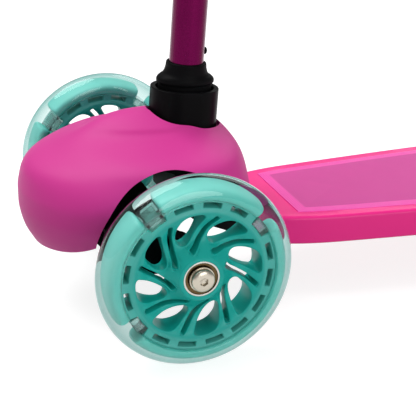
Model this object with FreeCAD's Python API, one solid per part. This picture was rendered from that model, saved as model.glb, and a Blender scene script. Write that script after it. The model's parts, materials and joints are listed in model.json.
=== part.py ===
import FreeCAD, Part
import math
import os

# Three-wheeled child's kick scooter that leans to steer.  Millimetres, +Z up,
# -Y is the way it rolls, +X is the rider's left.  Everything is laid out from
# the front axle (y = 0) and the ground (z = 0), and export() moves it so that
# the origin is at the middle of the footprint.

V = FreeCAD.Vector
X, Y, Z = V(1, 0, 0), V(0, 1, 0), V(0, 0, 1)

# ---- driving dimensions: wheels -------------------------------------------
FRONT_R = 60.0            # front wheel radius
REAR_R = 40.0             # rear wheel radius
WHEELBASE = 400.0
TRACK_HALF = 106.0        # middle plane of a front wheel
WHEEL_HALF = 11.8         # half the tyre's width
TREAD_RISE = 11.8         # of the front tyre's round tread above its cheeks
REAR_TREAD_RISE = 6.7
HUB_HALF = 12.0           # half the hub's length
HUB_R = 14.6
WEB_HALF = 9.0            # half the thickness of the web where it meets the rim
SLIT_HALF = 1.05          # half the width of a slit between two openings
RIM_GROOVE = 9.0          # depth of the groove behind the ring of slots
# radius and half thickness of the dished web, from the hub to the rim
WEB_DISH = ((12.6, 12.0), (14.0, 11.4), (16.0, 9.6), (18.0, 7.7), (21.0, 5.3), (24.0, 4.2), (27.0, 4.0),
            (30.0, 4.7), (33.0, 6.3), (36.0, 8.1), (38.6, 9.0))
# radius and degrees of the edge of an opening, and of the middle of a slit
OPENING = ((23.5, 31.5), (21.3, 28.0), (20.8, 22.0), (21.8, 16.0), (24.0, 10.0), (27.6, 4.0), (31.0, 0.0),
           (34.5, -3.0), (36.9, -4.2), (38.3, -2.0), (38.6, 3.0), (38.5, 9.0), (37.9, 14.5), (36.2, 19.5),
           (32.8, 24.5), (28.5, 29.0), (26.0, 31.2))
SLIT = ((16.7, 19.0), (18.2, 10.0), (20.0, 4.5), (22.3, 0.0), (25.5, -5.0), (29.0, -8.4), (33.0, -12.2),
        (37.2, -15.9))
SLOT_RING_R = FRONT_R - 15.8   # middle of the ring of short slots
CORE_R = FRONT_R - 5.5    # outside of the padded segments
TYRE_IN_R = FRONT_R - 13.4    # inner edge of the clear tyre's cheeks
BLADES = 8
RIM_CELLS = 16
GAP_CELLS = (1, 5, 9)     # rim cells left open for the lights
CELL_PHASE = 13.5         # degrees
CELL_SPAN = 14.5          # degrees

# ---- bearings, bolts and clearances ----------------------------------------
BEARING_R = 11.0
BEARING_W = 7.0
AXLE_R = 4.0
RACE_R = 6.1              # outside of the inner race
RUN_GAP = 0.08            # radial running clearance
FIT_GAP = 0.1             # clearance of a fixed piece in its seat
SOFT_GAP = 0.3            # air between neighbours that move
BOLT_HEAD_R = 7.0
BOLT_HEAD_H = 4.6

# ---- driving dimensions: steering -------------------------------------------
KING_X = 43.0
KING_Y = -30.0
KING_Z = FRONT_R + 8.0
KING_TILT = 40.0          # kingpins lean forward from upright, degrees
KING_R = 4.0
BOSS_R = 10.0
BOSS_HALF = 12.0
BUSH_H = 4.0
PLATE_T = 5.0
YOKE_HALF = 56.0
YOKE_NOSE = 43.0          # half the width of the channel's front wall
YOKE_FRONT = -18.0
YOKE_LIP = 12.0
YOKE_TAIL = 21.0          # how far back the lower plate runs in the middle
ARM_IN_X = 70.0
ARM_OUT_X = 87.0
ARM_R = 16.0              # of the carrier's arm at the kingpin
ARM_TIP_R = 10.0          # of the arm at the axle
ROD_OFFSET = 22.0
ROD_W = 12.0
ROD_T = 4.0
ROD_PIN_R = 3.0
OPEN_PIVOT_GAP = 0.25

# ---- driving dimensions: deck -----------------------------------------------
DECK_TOP = 57.8
DECK_H = 20.0
DECK_FRONT = 62.0
DECK_WALL = 3.5
DECK_SKIN = 4.0
DECK_STATIONS = ((72.0, 38.0), (90.0, 44.5), (108.0, 48.5), (129.0, 51.0), (173.0, 55.0),
                 (WHEELBASE - 163.0, 60.0), (WHEELBASE - 110.0, 60.0), (WHEELBASE - 65.0, 50.0),
                 (WHEELBASE - 34.0, 35.0))   # y, half width
DECK_CORNER = 10.0
DECK_EDGE_R = 2.5
RIB_T = 2.5
RIB_PITCH = 44.0
PAD_T = 1.6
PAD_PROUD = 0.4
PAD_INSET = 9.0
PAD_FRONT = 96.0
PAD_BACK = WHEELBASE - 62.0
FORK_IN = 14.4
FORK_T = 9.0

# ---- driving dimensions: neck, socket and stem -----------------------------
NECK_HALF = 24.0
STEM_TILT = 3.0           # degrees, top leans back
STEM_FOOT_Y = 25.4
STEM_FOOT_Z = 100.0
SOCKET_LEN = 45.0
SOCKET_W = 34.0
SOCKET_WALL = 3.2
SOCKET_FLOOR = 8.0
RIM_FRONT_Z = 140.7
RIM_BACK_Z = 137.7
TUBE_R = 9.5              # the T-bar's tube
SPIGOT_R = TUBE_R
SPIGOT_WALL = 2.0
SPIGOT_TOP = 110.0
STEM_R = 11.1
STEM_BORE = TUBE_R + RUN_GAP
STEM_TOP = 370.0
STEM_BOTTOM = 10.0
BOOT_TOP = 55.5
BOOT_BOTTOM = 30.0
BUTTON_S = 62.5
BUTTON_R = 2.4
BUTTON_PROUD = 2.0
BUTTON_TRAVEL = 2.4
BAR_S = 568.0             # handlebar's height along the stem
BAR_HALF = 128.0
BAR_R = 9.5
TUBE_WALL = 1.5
TUBE_BOTTOM = 250.0
GRIP_R = 14.0
GRIP_LEN = 96.0
BUTTON_FOOT = SPIGOT_R - SPIGOT_WALL - 2.2     # where the button's foot meets its spring
CLAMP_LOW = STEM_TOP - 24.0
CLAMP_H = 26.0
CLAMP_R = STEM_R + 3.9
EAR_BACK = -21.0          # the clamp bolt's distance in front of the tube
EAR_HALF = 8.5
BOLT_R = 2.5
CAM_R = 3.7
EYE_HALF = 2.6
LEVER_X = EAR_HALF + CAM_R + SOFT_GAP

# ---- driving dimensions: front cover ---------------------------------------
COVER_WALL = 2.6
COVER_MID = 5.0           # y of the cover's widest place
COVER_FRONT_POWER = 1.9   # of the superellipse that draws each level's front half
COVER_BACK_POWER = 2.27
ARCH_R = FRONT_R - 14.5
ARCH_FROM = 50.0          # x at which a wheel arch starts
SMILE_Z = 44.6            # height of the cover's lower edge in the middle
SMILE_RISE = 17.0         # how much higher the edge is at SMILE_HALF
SMILE_HALF = 57.0
SMILE_POWER = 3.5
COVER_GAP = 2.4           # air around the socket
POST_R = 5.0
POST_X = 34.0
POST_ALONG = 14.0         # the posts' place along the kingpins' direction
POST_LEN = 10.0           # from the yoke's wall to the screw head's seat
# height, half width, front y, back y
COVER_LEVELS = ((43.5, 56.0, -72.7, 72.6), (55.5, 65.3, -79.2, 70.3), (69.6, 75.0, -82.3, 67.7),
                (82.7, 77.1, -81.7, 65.3), (96.8, 67.7, -76.5, 62.7), (106.2, 57.7, -58.2, 58.0),
                (114.1, 28.0, -43.5, 51.0), (119.4, 20.7, -33.6, 42.8), (123.1, 13.5, -25.2, 34.1),
                (125.4, 8.0, -16.0, 25.0), (126.3, 4.5, -7.0, 17.0))

# ---- driving dimensions: rear brake ----------------------------------------
FENDER_IN_R = REAR_R + 5.0
FENDER_T = 2.5
FENDER_HALF = 13.4
FENDER_FROM = 10.0        # degrees above level, at the back
FENDER_TO = 140.0
HINGE_Y = WHEELBASE - 50.0
HINGE_Z = REAR_R + 24.0
HINGE_PIN_R = 2.5

AXLE = V(0, 0, FRONT_R)
REAR_AXLE = V(0, WHEELBASE, REAR_R)
NOSE_Y = min(level[2] for level in COVER_LEVELS)
TAIL_Y = WHEELBASE + (FENDER_IN_R + FENDER_T) * math.cos(math.radians(FENDER_FROM))
SHIFT = V(0, -(NOSE_Y + TAIL_Y) / 2, 0)

KING = V(KING_X, KING_Y, KING_Z)
KING_DIR = V(0, -math.sin(math.radians(KING_TILT)), math.cos(math.radians(KING_TILT)))
KING_BACK = V(0, math.cos(math.radians(KING_TILT)), math.sin(math.radians(KING_TILT)))
STEM_DIR = V(0, math.sin(math.radians(STEM_TILT)), math.cos(math.radians(STEM_TILT)))
STEM_BACK = V(0, math.cos(math.radians(STEM_TILT)), -math.sin(math.radians(STEM_TILT)))
STEM_FOOT = V(0, STEM_FOOT_Y, STEM_FOOT_Z)


# ---- helpers ----------------------------------------------------------------
def export(node, shape):
    """Write one node, a solid or a group of separate solids."""
    moved = shape.copy()
    moved.translate(SHIFT)
    moved.exportStep("parts/%s.step" % node)


def mirrored(shape):
    """The other side's copy of a left-hand piece."""
    return shape.mirror(V(0, 0, 0), X)


def group(shapes):
    return Part.makeCompound(shapes)


def rod(radius, start, direction, length):
    return Part.makeCylinder(radius, length, start, direction)


def sleeve(outer, inner, start, direction, length):
    return rod(outer, start, direction, length).cut(rod(inner, start, direction, length))


def block(low, high):
    size = high - low
    return Part.makeBox(size.x, size.y, size.z, low)


def face_of(points):
    return Part.Face(Part.makePolygon(list(points) + [points[0]]))


def closed_curve(points):
    """A smooth closed curve through the points, as a face."""
    curve = Part.BSplineCurve()
    curve.interpolate(Points=points, PeriodicFlag=True)
    return Part.Face(Part.Wire(curve.toShape()))


def extrude_x(face, low, high):
    """Take a face drawn at x = 0 from low to high along X."""
    moved = face.copy()
    moved.translate(V(low, 0, 0))
    return moved.extrude(V(high - low, 0, 0))


def king_point(along, back, x=0.0):
    """A place in the kingpin's own axes: along it and square to it, rearwards."""
    return V(x, KING_Y, KING_Z) + KING_DIR * along + KING_BACK * back


def king_block(along, back, x):
    """A block squared up with the kingpins; each range is (low, high)."""
    corners = [king_point(along[i], back[j]) for i, j in ((0, 0), (1, 0), (1, 1), (0, 1))]
    return extrude_x(face_of(corners), x[0], x[1])


def king_plate(along, outline):
    """A plate square to the kingpins from an outline of (x, back), between two heights."""
    corners = [king_point(along[0], back, x) for x, back in outline]
    return face_of(corners).extrude(KING_DIR * (along[1] - along[0]))


def stem_point(along, back=0.0, x=0.0):
    return STEM_FOOT + STEM_DIR * along + STEM_BACK * back + V(x, 0, 0)


def to_stem(shape):
    """Turn and move a piece drawn upright at the origin onto the stem's axis."""
    placed = shape.copy()
    placed.rotate(V(0, 0, 0), X, -STEM_TILT)
    placed.translate(STEM_FOOT)
    return placed


def to_wheel(shape, x, centre, flip=False):
    """Stand a wheel piece, drawn flat with its outer face up, on its axle."""
    placed = shape.copy()
    placed.rotate(V(0, 0, 0), V(1, 1, 1), 120)
    if flip:
        placed.rotate(V(0, 0, 0), Z, 180)
    placed.translate(V(-x if flip else x, centre.y, centre.z))
    return placed


def polar(radius, degrees, z=0.0):
    angle = math.radians(degrees)
    return V(radius * math.cos(angle), radius * math.sin(angle), z)


def polar_x(radius, degrees):
    """Point on a circle about the X direction."""
    angle = math.radians(degrees)
    return V(0, radius * math.cos(angle), radius * math.sin(angle))


def revolved(points):
    """Turn a closed (radius, height) outline about Z."""
    outline = face_of([V(r, 0, z) for r, z in points])
    return outline.revolve(V(0, 0, 0), Z, 360)


# ---- wheels -----------------------------------------------------------------
def opening_face(turn, z):
    """A teardrop opening: blunt by the hub, round and wide at the rim."""
    return closed_curve([polar(radius, angle + turn, z) for radius, angle in OPENING])


def slit_face(turn, z):
    """A thin slit that sweeps back as it goes out, with its two sides parallel."""
    middle = [polar(radius, angle + turn, z) for radius, angle in SLIT]
    last = len(middle) - 1
    left, right = [], []
    for i, point in enumerate(middle):
        along = middle[min(i + 1, last)] - middle[max(i - 1, 0)]
        along.normalize()
        across = V(-along.y, along.x, 0) * SLIT_HALF
        left.append(point + across)
        right.append(point - across)
    first = middle[0] - middle[1]
    first.normalize()
    final = middle[last] - middle[last - 1]
    final.normalize()
    foot = middle[0] + first * SLIT_HALF
    tip = middle[last] + final * SLIT_HALF
    return closed_curve([foot] + left + [tip] + right[::-1])


def sector(inner, outer, centre, span, low, high):
    """A block cut from a ring, between two radii and over an angle."""
    ring = sleeve(outer, inner, V(0, 0, low), Z, high - low)
    reach = outer * 1.3
    corners = [V(0, 0, low), polar(reach, centre - span / 2, low), polar(reach, centre, low),
               polar(reach, centre + span / 2, low)]
    return ring.common(face_of(corners).extrude(V(0, 0, high - low)))


def cell_angle(cell):
    return CELL_PHASE + cell * 360.0 / RIM_CELLS


def front_core():
    """Hub, dished web with blades, and padded rim in one moulding."""
    faces = []
    for side in (1, -1):
        dish = Part.BSplineCurve()
        dish.interpolate([V(radius, 0, side * half) for radius, half in WEB_DISH])
        faces.append(dish.toShape())
    hub, rim = WEB_DISH[0][0], WEB_DISH[-1][0]
    pad = ((rim, WEB_HALF), (46.4, WEB_HALF), (48.0, 10.2), (51.0, 10.2), (53.6, 8.6), (CORE_R, 6.0))
    outside = [V(r, 0, h) for r, h in pad] + [V(r, 0, -h) for r, h in pad[::-1]]
    through = RACE_R + 2.2
    inside = [V(hub, 0, -HUB_HALF), V(through, 0, -HUB_HALF), V(through, 0, HUB_HALF), V(hub, 0, HUB_HALF)]
    lines = [Part.makeLine(run[i], run[i + 1]) for run in (outside, inside) for i in range(len(run) - 1)]
    outline = Part.Wire(Part.__sortEdges__(faces + lines))
    core = Part.Face(outline).revolve(V(0, 0, 0), Z, 360)
    groove_deep = HUB_HALF - WEB_HALF + RIM_GROOVE
    cuts = [sleeve(SLOT_RING_R + 2.4, SLOT_RING_R - 2.4, V(0, 0, -HUB_HALF), Z, groove_deep)]
    for blade in range(BLADES):
        turn = blade * 360.0 / BLADES
        cuts.append(opening_face(turn, -HUB_HALF).extrude(V(0, 0, 2 * HUB_HALF)))
        cuts.append(slit_face(turn, -HUB_HALF).extrude(V(0, 0, 2 * HUB_HALF)))
    for cell in range(RIM_CELLS):
        angle = cell_angle(cell)
        if cell in GAP_CELLS:
            cuts.append(sector(SLOT_RING_R - 1.9, CORE_R + 1, angle, CELL_SPAN, -HUB_HALF, HUB_HALF))
        else:
            cuts.append(sector(SLOT_RING_R - 1.6, SLOT_RING_R + 1.6, angle, CELL_SPAN, -HUB_HALF, HUB_HALF))
    for side in (-1, 1):
        seat = HUB_HALF - 0.2 - BEARING_W
        cuts.append(rod(BEARING_R, V(0, 0, side * seat), Z * side, HUB_HALF))
    return core.cut(cuts)


def light_units():
    """The small light modules that sit in the rim's gaps."""
    units = []
    for cell in GAP_CELLS:
        angle = cell_angle(cell)
        unit = Part.makeBox(5.2, 8.0, 13.0, V(SLOT_RING_R - 1.4, -4.0, -6.5))
        unit.rotate(V(0, 0, 0), Z, angle)
        units.append(unit)
    return units


def tyre_outline(radius, inner, half, rise):
    """Tyre section: flat cheeks and a rounded tread."""
    shoulder = radius - rise
    tread = Part.Arc(V(shoulder, 0, half), V(radius, 0, 0), V(shoulder, 0, -half)).toShape()
    lines = [V(shoulder, 0, -half), V(inner, 0, -half), V(inner, 0, half), V(shoulder, 0, half)]
    edges = [Part.makeLine(lines[i], lines[i + 1]) for i in range(3)]
    return Part.Face(Part.Wire([tread] + edges)).revolve(V(0, 0, 0), Z, 360)


def front_tyre(core, units):
    """Clear tyre cast around the padded segments and the light modules."""
    seat = sleeve(TYRE_IN_R, SLOT_RING_R - 1.9, V(0, 0, -WEB_HALF), Z, 2 * WEB_HALF)
    fills = [seat.common(sector(SLOT_RING_R - 1.9, CORE_R, cell_angle(c), CELL_SPAN, -WEB_HALF, WEB_HALF))
             for c in GAP_CELLS]
    whole = tyre_outline(FRONT_R, TYRE_IN_R, WHEEL_HALF, TREAD_RISE).fuse(fills)
    return whole.cut([core] + units)


def rear_core():
    profile = ((RACE_R + 2.2, -HUB_HALF), (HUB_R, -HUB_HALF), (HUB_R, -6.0), (27.0, -6.0), (27.0, -9.5),
               (31.5, -9.5), (31.5, 9.5), (27.0, 9.5), (27.0, 6.0), (HUB_R, 6.0), (HUB_R, HUB_HALF),
               (RACE_R + 2.2, HUB_HALF))
    core = revolved(profile)
    cuts = []
    for spoke in range(6):
        cuts.append(rod(3.6, polar(21.0, spoke * 60.0, -HUB_HALF), Z, 2 * HUB_HALF))
    for side in (-1, 1):
        seat = HUB_HALF - 0.2 - BEARING_W
        cuts.append(rod(BEARING_R, V(0, 0, side * seat), Z * side, HUB_HALF))
    return core.cut(cuts)


def bearing_rings(inner, outer):
    """The same ring at both ends of the hub."""
    seat = HUB_HALF - 0.2 - BEARING_W
    return group([sleeve(outer, inner, V(0, 0, side * seat), Z * side, BEARING_W) for side in (-1, 1)])


def wheel_spacer():
    half = HUB_HALF - 0.2 - BEARING_W
    return sleeve(RACE_R, AXLE_R + FIT_GAP, V(0, 0, -half), Z, 2 * half)


def build_front_wheels():
    core = front_core()
    units = light_units()
    tyre = front_tyre(core, units)
    pieces = {"wheel_core": core, "wheel_tyre": tyre, "wheel_lights": group(units),
              "bearing_outer": bearing_rings(RACE_R + RUN_GAP, BEARING_R),
              "bearing_inner": bearing_rings(AXLE_R + FIT_GAP, RACE_R),
              "axle_spacer": wheel_spacer()}
    for side, flip in (("left", False), ("right", True)):
        for name, piece in pieces.items():
            export("%s_%s" % (name, side), to_wheel(piece, TRACK_HALF, AXLE, flip))


# ---- steering ---------------------------------------------------------------
def knuckle():
    """Left carrier: kingpin boss, arm, axle boss and tie rod lug."""
    boss = rod(BOSS_R, king_point(-BOSS_HALF, 0, KING_X), KING_DIR, 2 * BOSS_HALF)
    bridge = king_block((-BOSS_HALF + 2, BOSS_HALF - 2), (-7, 9), (KING_X, ARM_IN_X + 1))
    lug = king_block((-9, -3), (0, ROD_OFFSET), (KING_X - 6, KING_X + 6))
    lug_end = rod(6, king_point(-9, ROD_OFFSET, KING_X), KING_DIR, 6)
    pin = rod(ROD_PIN_R, king_point(-3.1, ROD_OFFSET, KING_X), KING_DIR, ROD_T + 2.4)
    width = ARM_OUT_X - ARM_IN_X
    front_end = rod(ARM_R, V(ARM_IN_X, KING_Y, KING_Z), X, width)
    axle_end = rod(ARM_TIP_R, V(ARM_IN_X, 0, FRONT_R), X, width)
    run = V(0, KING_Y, KING_Z) - V(0, 0, FRONT_R)
    across = V(0, -run.z, run.y).normalize()
    web = face_of([V(0, 0, FRONT_R) + across * ARM_TIP_R, V(0, KING_Y, KING_Z) + across * ARM_R,
                   V(0, KING_Y, KING_Z) - across * ARM_R, V(0, 0, FRONT_R) - across * ARM_TIP_R])
    hub_face = TRACK_HALF - HUB_HALF + 0.2
    nose = rod(RACE_R - 0.1, V(ARM_OUT_X - 1, 0, FRONT_R), X, hub_face - ARM_OUT_X + 1)
    step = rod(12.0, V(ARM_OUT_X - 1, 0, FRONT_R), X, hub_face - ARM_OUT_X - 1.2)
    body = boss.fuse([bridge, lug, lug_end, pin, front_end, axle_end,
                      extrude_x(web, ARM_IN_X, ARM_OUT_X), nose, step])
    cuts = [rod(KING_R + RUN_GAP, king_point(-30, 0, KING_X), KING_DIR, 60),
            rod(AXLE_R + FIT_GAP, V(ARM_IN_X + 4, 0, FRONT_R), X, 60)]
    return body.cut(cuts).removeSplitter()


def axle_bolt():
    """Button-head bolt that screws into the arm."""
    face = TRACK_HALF + HUB_HALF - 0.2
    centre = V(0, 0, FRONT_R)
    washer = rod(7.6, centre + X * face, X, 0.8)
    head = rod(BOLT_HEAD_R, centre + X * (face + 0.8), X, BOLT_HEAD_H - 0.8)
    head = head.makeFillet(1.6, [head.Edges[0]])
    shank = rod(AXLE_R, centre + X * (ARM_IN_X + 5), X, face - ARM_IN_X - 4)
    hexagon = [V(face + BOLT_HEAD_H, 0, FRONT_R) + polar_x(2.6, a) for a in range(0, 360, 60)]
    return shank.fuse([washer, head]).cut(face_of(hexagon).extrude(X * -2.6))


def yoke():
    """Black casting: channel that holds the kingpins, neck and deck tongue."""
    top = BOSS_HALF + BUSH_H + SOFT_GAP
    low = -BOSS_HALF - SOFT_GAP
    outline = [(-YOKE_NOSE, YOKE_FRONT), (YOKE_NOSE, YOKE_FRONT), (YOKE_HALF, -4), (YOKE_HALF, YOKE_LIP),
               (-YOKE_HALF, YOKE_LIP), (-YOKE_HALF, -4)]
    upper = king_plate((top, top + PLATE_T), outline)
    rise = king_block((top, top + PLATE_T), (YOKE_FRONT, 36), (-NECK_HALF - 4, NECK_HALF + 4))
    front = king_block((low - PLATE_T, top + PLATE_T), (YOKE_FRONT, YOKE_FRONT + PLATE_T),
                       (-YOKE_NOSE, YOKE_NOSE))
    lower = king_plate((low - PLATE_T, low), outline)
    back = DECK_FRONT - SOFT_GAP
    neck_side = [(14, 66), (14, 88), (-14, 100), (-14, 106), (1, 106), (1, STEM_FOOT_Z), (51, STEM_FOOT_Z),
                 (55, 92), (61, 76), (back, DECK_TOP), (back, 40), (30, 53)]
    neck = extrude_x(face_of([V(0, y, z) for y, z in neck_side]), -NECK_HALF, NECK_HALF)
    tongue = block(V(-NECK_HALF, 50, DECK_TOP - DECK_SKIN - 9.3),
                   V(NECK_HALF, DECK_FRONT + 46, DECK_TOP - DECK_SKIN - SOFT_GAP))
    tail = king_block((low - PLATE_T, low), (YOKE_LIP - 1, YOKE_TAIL), (-NECK_HALF - 4, NECK_HALF + 4))
    body = upper.fuse([rise, front, lower, tail, neck, tongue])
    cuts = [rod(SPIGOT_R + FIT_GAP, stem_point(-34), STEM_DIR, 60)]
    for side in (-1, 1):
        cuts.append(rod(KING_R + FIT_GAP, king_point(-40, 0, side * KING_X), KING_DIR, 80))
    for x, y in tongue_screws():
        cuts.append(rod(1.6, V(x, y, 0), Z, DECK_TOP - DECK_SKIN))
    for side in (-1, 1):
        cuts.append(rod(1.4, king_point(POST_ALONG, YOKE_FRONT - 1, side * POST_X), KING_BACK, 12))
    return body.cut(cuts).removeSplitter()


def tongue_screws():
    return [(x, DECK_FRONT + y) for x in (-15.0, 15.0) for y in (14.0, 36.0)]


def kingpins():
    top = BOSS_HALF + BUSH_H + SOFT_GAP + PLATE_T
    low = BOSS_HALF + SOFT_GAP + PLATE_T
    pins, nuts, bushes = [], [], []
    for side in (-1, 1):
        x = side * KING_X
        shank = rod(KING_R, king_point(-low - 7, 0, x), KING_DIR, low + top + 7)
        pins.append(shank.fuse(rod(6.5, king_point(top, 0, x), KING_DIR, 4.5)))
        turns = [math.radians(a) for a in range(0, 360, 60)]
        corners = [king_point(-low - 5.5, 7.5 * math.cos(a), x + 7.5 * math.sin(a)) for a in turns]
        nut = face_of(corners).extrude(KING_DIR * 5.5)
        nuts.append(nut.cut(rod(KING_R, king_point(-low - 6, 0, x), KING_DIR, 8)))
        bushes.append(sleeve(BOSS_R - 1, KING_R + FIT_GAP, king_point(top - PLATE_T - BUSH_H, 0, x),
                             KING_DIR, BUSH_H))
    return group(pins), group(nuts), group(bushes)


def tie_rod():
    """Flat bar that makes both carriers turn together."""
    low = -3 + SOFT_GAP
    bar = king_block((low, low + ROD_T), (ROD_OFFSET - ROD_W / 2, ROD_OFFSET + ROD_W / 2), (-KING_X, KING_X))
    ends = [rod(ROD_W / 2, king_point(low, ROD_OFFSET, side * KING_X), KING_DIR, ROD_T) for side in (-1, 1)]
    holes = [rod(ROD_PIN_R + RUN_GAP, king_point(-10, ROD_OFFSET, KING_X), KING_DIR, 20),
             rod(ROD_PIN_R + OPEN_PIVOT_GAP, king_point(-10, ROD_OFFSET, -KING_X), KING_DIR, 20)]
    return bar.fuse(ends).cut(holes).removeSplitter()


def build_steering():
    left = knuckle()
    bolt = axle_bolt()
    export("knuckle_left", left)
    export("knuckle_right", mirrored(left))
    export("axle_bolt_left", bolt)
    export("axle_bolt_right", mirrored(bolt))
    export("steering_yoke", yoke())
    pins, nuts, bushes = kingpins()
    export("kingpins", pins)
    export("kingpin_nuts", nuts)
    export("centring_bushes", bushes)
    export("tie_rod", tie_rod())


# ---- front cover ------------------------------------------------------------
def cover_section(half, front, back, z):
    """Rounded plan outline: fuller at the nose, slimmer at the back."""
    points = []
    steps = 16
    for i in range(steps):
        angle = 2 * math.pi * i / steps
        c, s = math.cos(angle), math.sin(angle)
        power = 2 / COVER_FRONT_POWER if s < 0 else 2 / COVER_BACK_POWER
        reach = (COVER_MID - front) if s < 0 else (back - COVER_MID)
        x = half * math.copysign(abs(c) ** power, c)
        y = COVER_MID + reach * math.copysign(abs(s) ** power, s)
        points.append(V(x, y, z))
    curve = Part.BSplineCurve()
    curve.interpolate(Points=points, PeriodicFlag=True)
    return Part.Wire(curve.toShape())


def cover_body(inset):
    """The cover's full shape, shrunk by a wall thickness."""
    wires = [cover_section(half - inset, front + inset, back - inset, z - inset)
             for z, half, front, back in COVER_LEVELS]
    return Part.makeLoft(wires, True, False)


def oval(length, width, low, high):
    """Block with round ends, long from front to back, square to the stem."""
    radius = width / 2
    reach = (length - width) / 2
    ends = [rod(radius, V(0, side * reach, low), Z, high - low) for side in (-1, 1)]
    middle = block(V(-radius, -reach, low), V(radius, reach, high))
    return to_stem(middle.fuse(ends).removeSplitter())


def front_cover():
    """Hollow dome with wheel arches and two posts that screw to the yoke."""
    whole = cover_body(0)
    shell = whole.cut(cover_body(COVER_WALL))
    reach = SMILE_HALF * 1.25
    edge = [V(reach * i / 8, 0, SMILE_Z + SMILE_RISE * abs(reach * i / 8 / SMILE_HALF) ** SMILE_POWER)
            for i in range(-8, 9)]
    smile = Part.BSplineCurve()
    smile.interpolate(edge)
    floor = [edge[-1], V(reach, 0, 0), V(-reach, 0, 0), edge[0]]
    sides = [Part.makeLine(floor[i], floor[i + 1]) for i in range(3)]
    under_nose = Part.Face(Part.Wire([smile.toShape()] + sides)).extrude(V(0, -120, 0))
    under_back = block(V(-120, -1, 0), V(120, 120, DECK_TOP + SOFT_GAP))
    cuts = [under_nose, under_back,
            oval(SOCKET_LEN + 2 * COVER_GAP, SOCKET_W + 2 * COVER_GAP, -4, 50)]
    for side in (-1, 1):
        cuts.append(rod(ARCH_R, V(side * ARCH_FROM, 0, FRONT_R), X * side, 100))
    shell = shell.cut(cuts)
    for side in (-1, 1):
        foot = king_point(POST_ALONG, YOKE_FRONT - SOFT_GAP, side * POST_X)
        post = rod(POST_R, foot, KING_BACK * -1, 60).common(whole)
        shell = shell.fuse(post)
        shell = shell.cut([rod(1.6, foot, KING_BACK * -1, 60),
                           rod(3.6, foot - KING_BACK * POST_LEN, KING_BACK * -1, 60)])
    return shell


def cover_screws():
    places = []
    for side in (-1, 1):
        seat = king_point(POST_ALONG, YOKE_FRONT - SOFT_GAP - POST_LEN, side * POST_X)
        places.append((seat, KING_BACK))
    return screws(places, 3.2, 1.35, 2.2, POST_LEN + 6)


# ---- deck -------------------------------------------------------------------
def deck_outline(inset, front, back):
    """Plan outline of the deck, moved in by inset, as a face at z = 0."""
    right = [V(half - inset, y, 0) for y, half in DECK_STATIONS]
    curve = Part.BSplineCurve()
    curve.interpolate(right)
    side = curve.toShape()
    first, last = right[0], right[-1]
    nose = V(first.x - DECK_CORNER, DECK_FRONT + inset, 0)
    bend = DECK_CORNER * 0.3
    corner = Part.Arc(first, V(first.x - bend, nose.y + bend, 0), nose).toShape()
    other = [e.mirror(V(0, 0, 0), X) for e in (side, corner)]
    ends = [Part.makeLine(nose, V(-nose.x, nose.y, 0)), Part.makeLine(last, V(-last.x, last.y, 0))]
    wire = Part.Wire(Part.__sortEdges__([side, corner] + other + ends))
    face = Part.Face(wire)
    return face.common(face_of([V(-200, front, 0), V(200, front, 0), V(200, back, 0), V(-200, back, 0)]))


def prism(face, low, high):
    moved = face.copy()
    moved.translate(V(0, 0, low))
    return moved.extrude(V(0, 0, high - low))


def deck():
    """Moulded deck, hollow and ribbed underneath, with the rear fork."""
    under = DECK_TOP - DECK_H
    end = DECK_STATIONS[-1][0]
    body = prism(deck_outline(0, DECK_FRONT, end), under, DECK_TOP)
    slot = block(V(-FORK_IN, WHEELBASE - REAR_R - 5, 0), V(FORK_IN, end + 60, 100))
    rims = [e for e in body.Edges if abs(e.BoundBox.ZLength) < 0.01 and e.Length > 1]
    body = body.makeFillet(DECK_EDGE_R, rims)
    hollow = prism(deck_outline(DECK_WALL, DECK_FRONT + DECK_WALL, end - 24), under - 1, DECK_TOP - DECK_SKIN)
    ribs = [block(V(-80, y, under + 2), V(80, y + RIB_T, DECK_TOP))
            for y in [DECK_FRONT + 56 + RIB_PITCH * i for i in range(5)]]
    spine = [block(V(x - RIB_T / 2, DECK_FRONT + 56, under + 2), V(x + RIB_T / 2, end, DECK_TOP))
             for x in (-18, 18)]
    hollow = hollow.cut(ribs + spine)
    body = body.cut(hollow)
    arms = []
    for side in (-1, 1):
        low_x = min(side * FORK_IN, side * (FORK_IN + FORK_T))
        arm = block(V(low_x, end - 40, 30), V(low_x + FORK_T, WHEELBASE, 50))
        tip = rod(10, V(low_x, WHEELBASE, REAR_R), X, FORK_T)
        lug = block(V(low_x, HINGE_Y - 6, DECK_TOP - 3), V(low_x + 4.0, HINGE_Y + 6, HINGE_Z))
        if side < 0:
            lug.translate(V(FORK_T - 4.0, 0, 0))
        eye_x = side * FORK_IN if side > 0 else -FORK_IN - 4.0
        eye = rod(6, V(eye_x, HINGE_Y, HINGE_Z), X, 4.0)
        arms += [arm, tip, lug, eye]
    body = body.cut(slot).fuse(arms)
    recess = prism(deck_outline(PAD_INSET - FIT_GAP, PAD_FRONT - FIT_GAP, PAD_BACK + FIT_GAP),
                   DECK_TOP - PAD_T + PAD_PROUD, DECK_TOP + 5)
    cuts = [recess, rod(AXLE_R + FIT_GAP, V(-60, WHEELBASE, REAR_R), X, 120),
            rod(HINGE_PIN_R + FIT_GAP, V(-60, HINGE_Y, HINGE_Z), X, 120),
            block(V(-NECK_HALF - SOFT_GAP, DECK_FRONT - 5, under - 1),
                  V(NECK_HALF + SOFT_GAP, DECK_FRONT + DECK_WALL + 1, DECK_TOP - DECK_SKIN))]
    return body.cut(cuts).removeSplitter()


def grip_pad():
    outline = deck_outline(PAD_INSET, PAD_FRONT, PAD_BACK)
    return prism(outline, DECK_TOP - PAD_T + PAD_PROUD, DECK_TOP + PAD_PROUD)


def screws(places, head_r, shank_r, head_h, length):
    """Pan screws; each place is the head's underside and the way it points in."""
    made = []
    for seat, inward in places:
        head = rod(head_r, seat - inward * head_h, inward, head_h)
        made.append(head.fuse(rod(shank_r, seat, inward, length)))
    return group(made)


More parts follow.
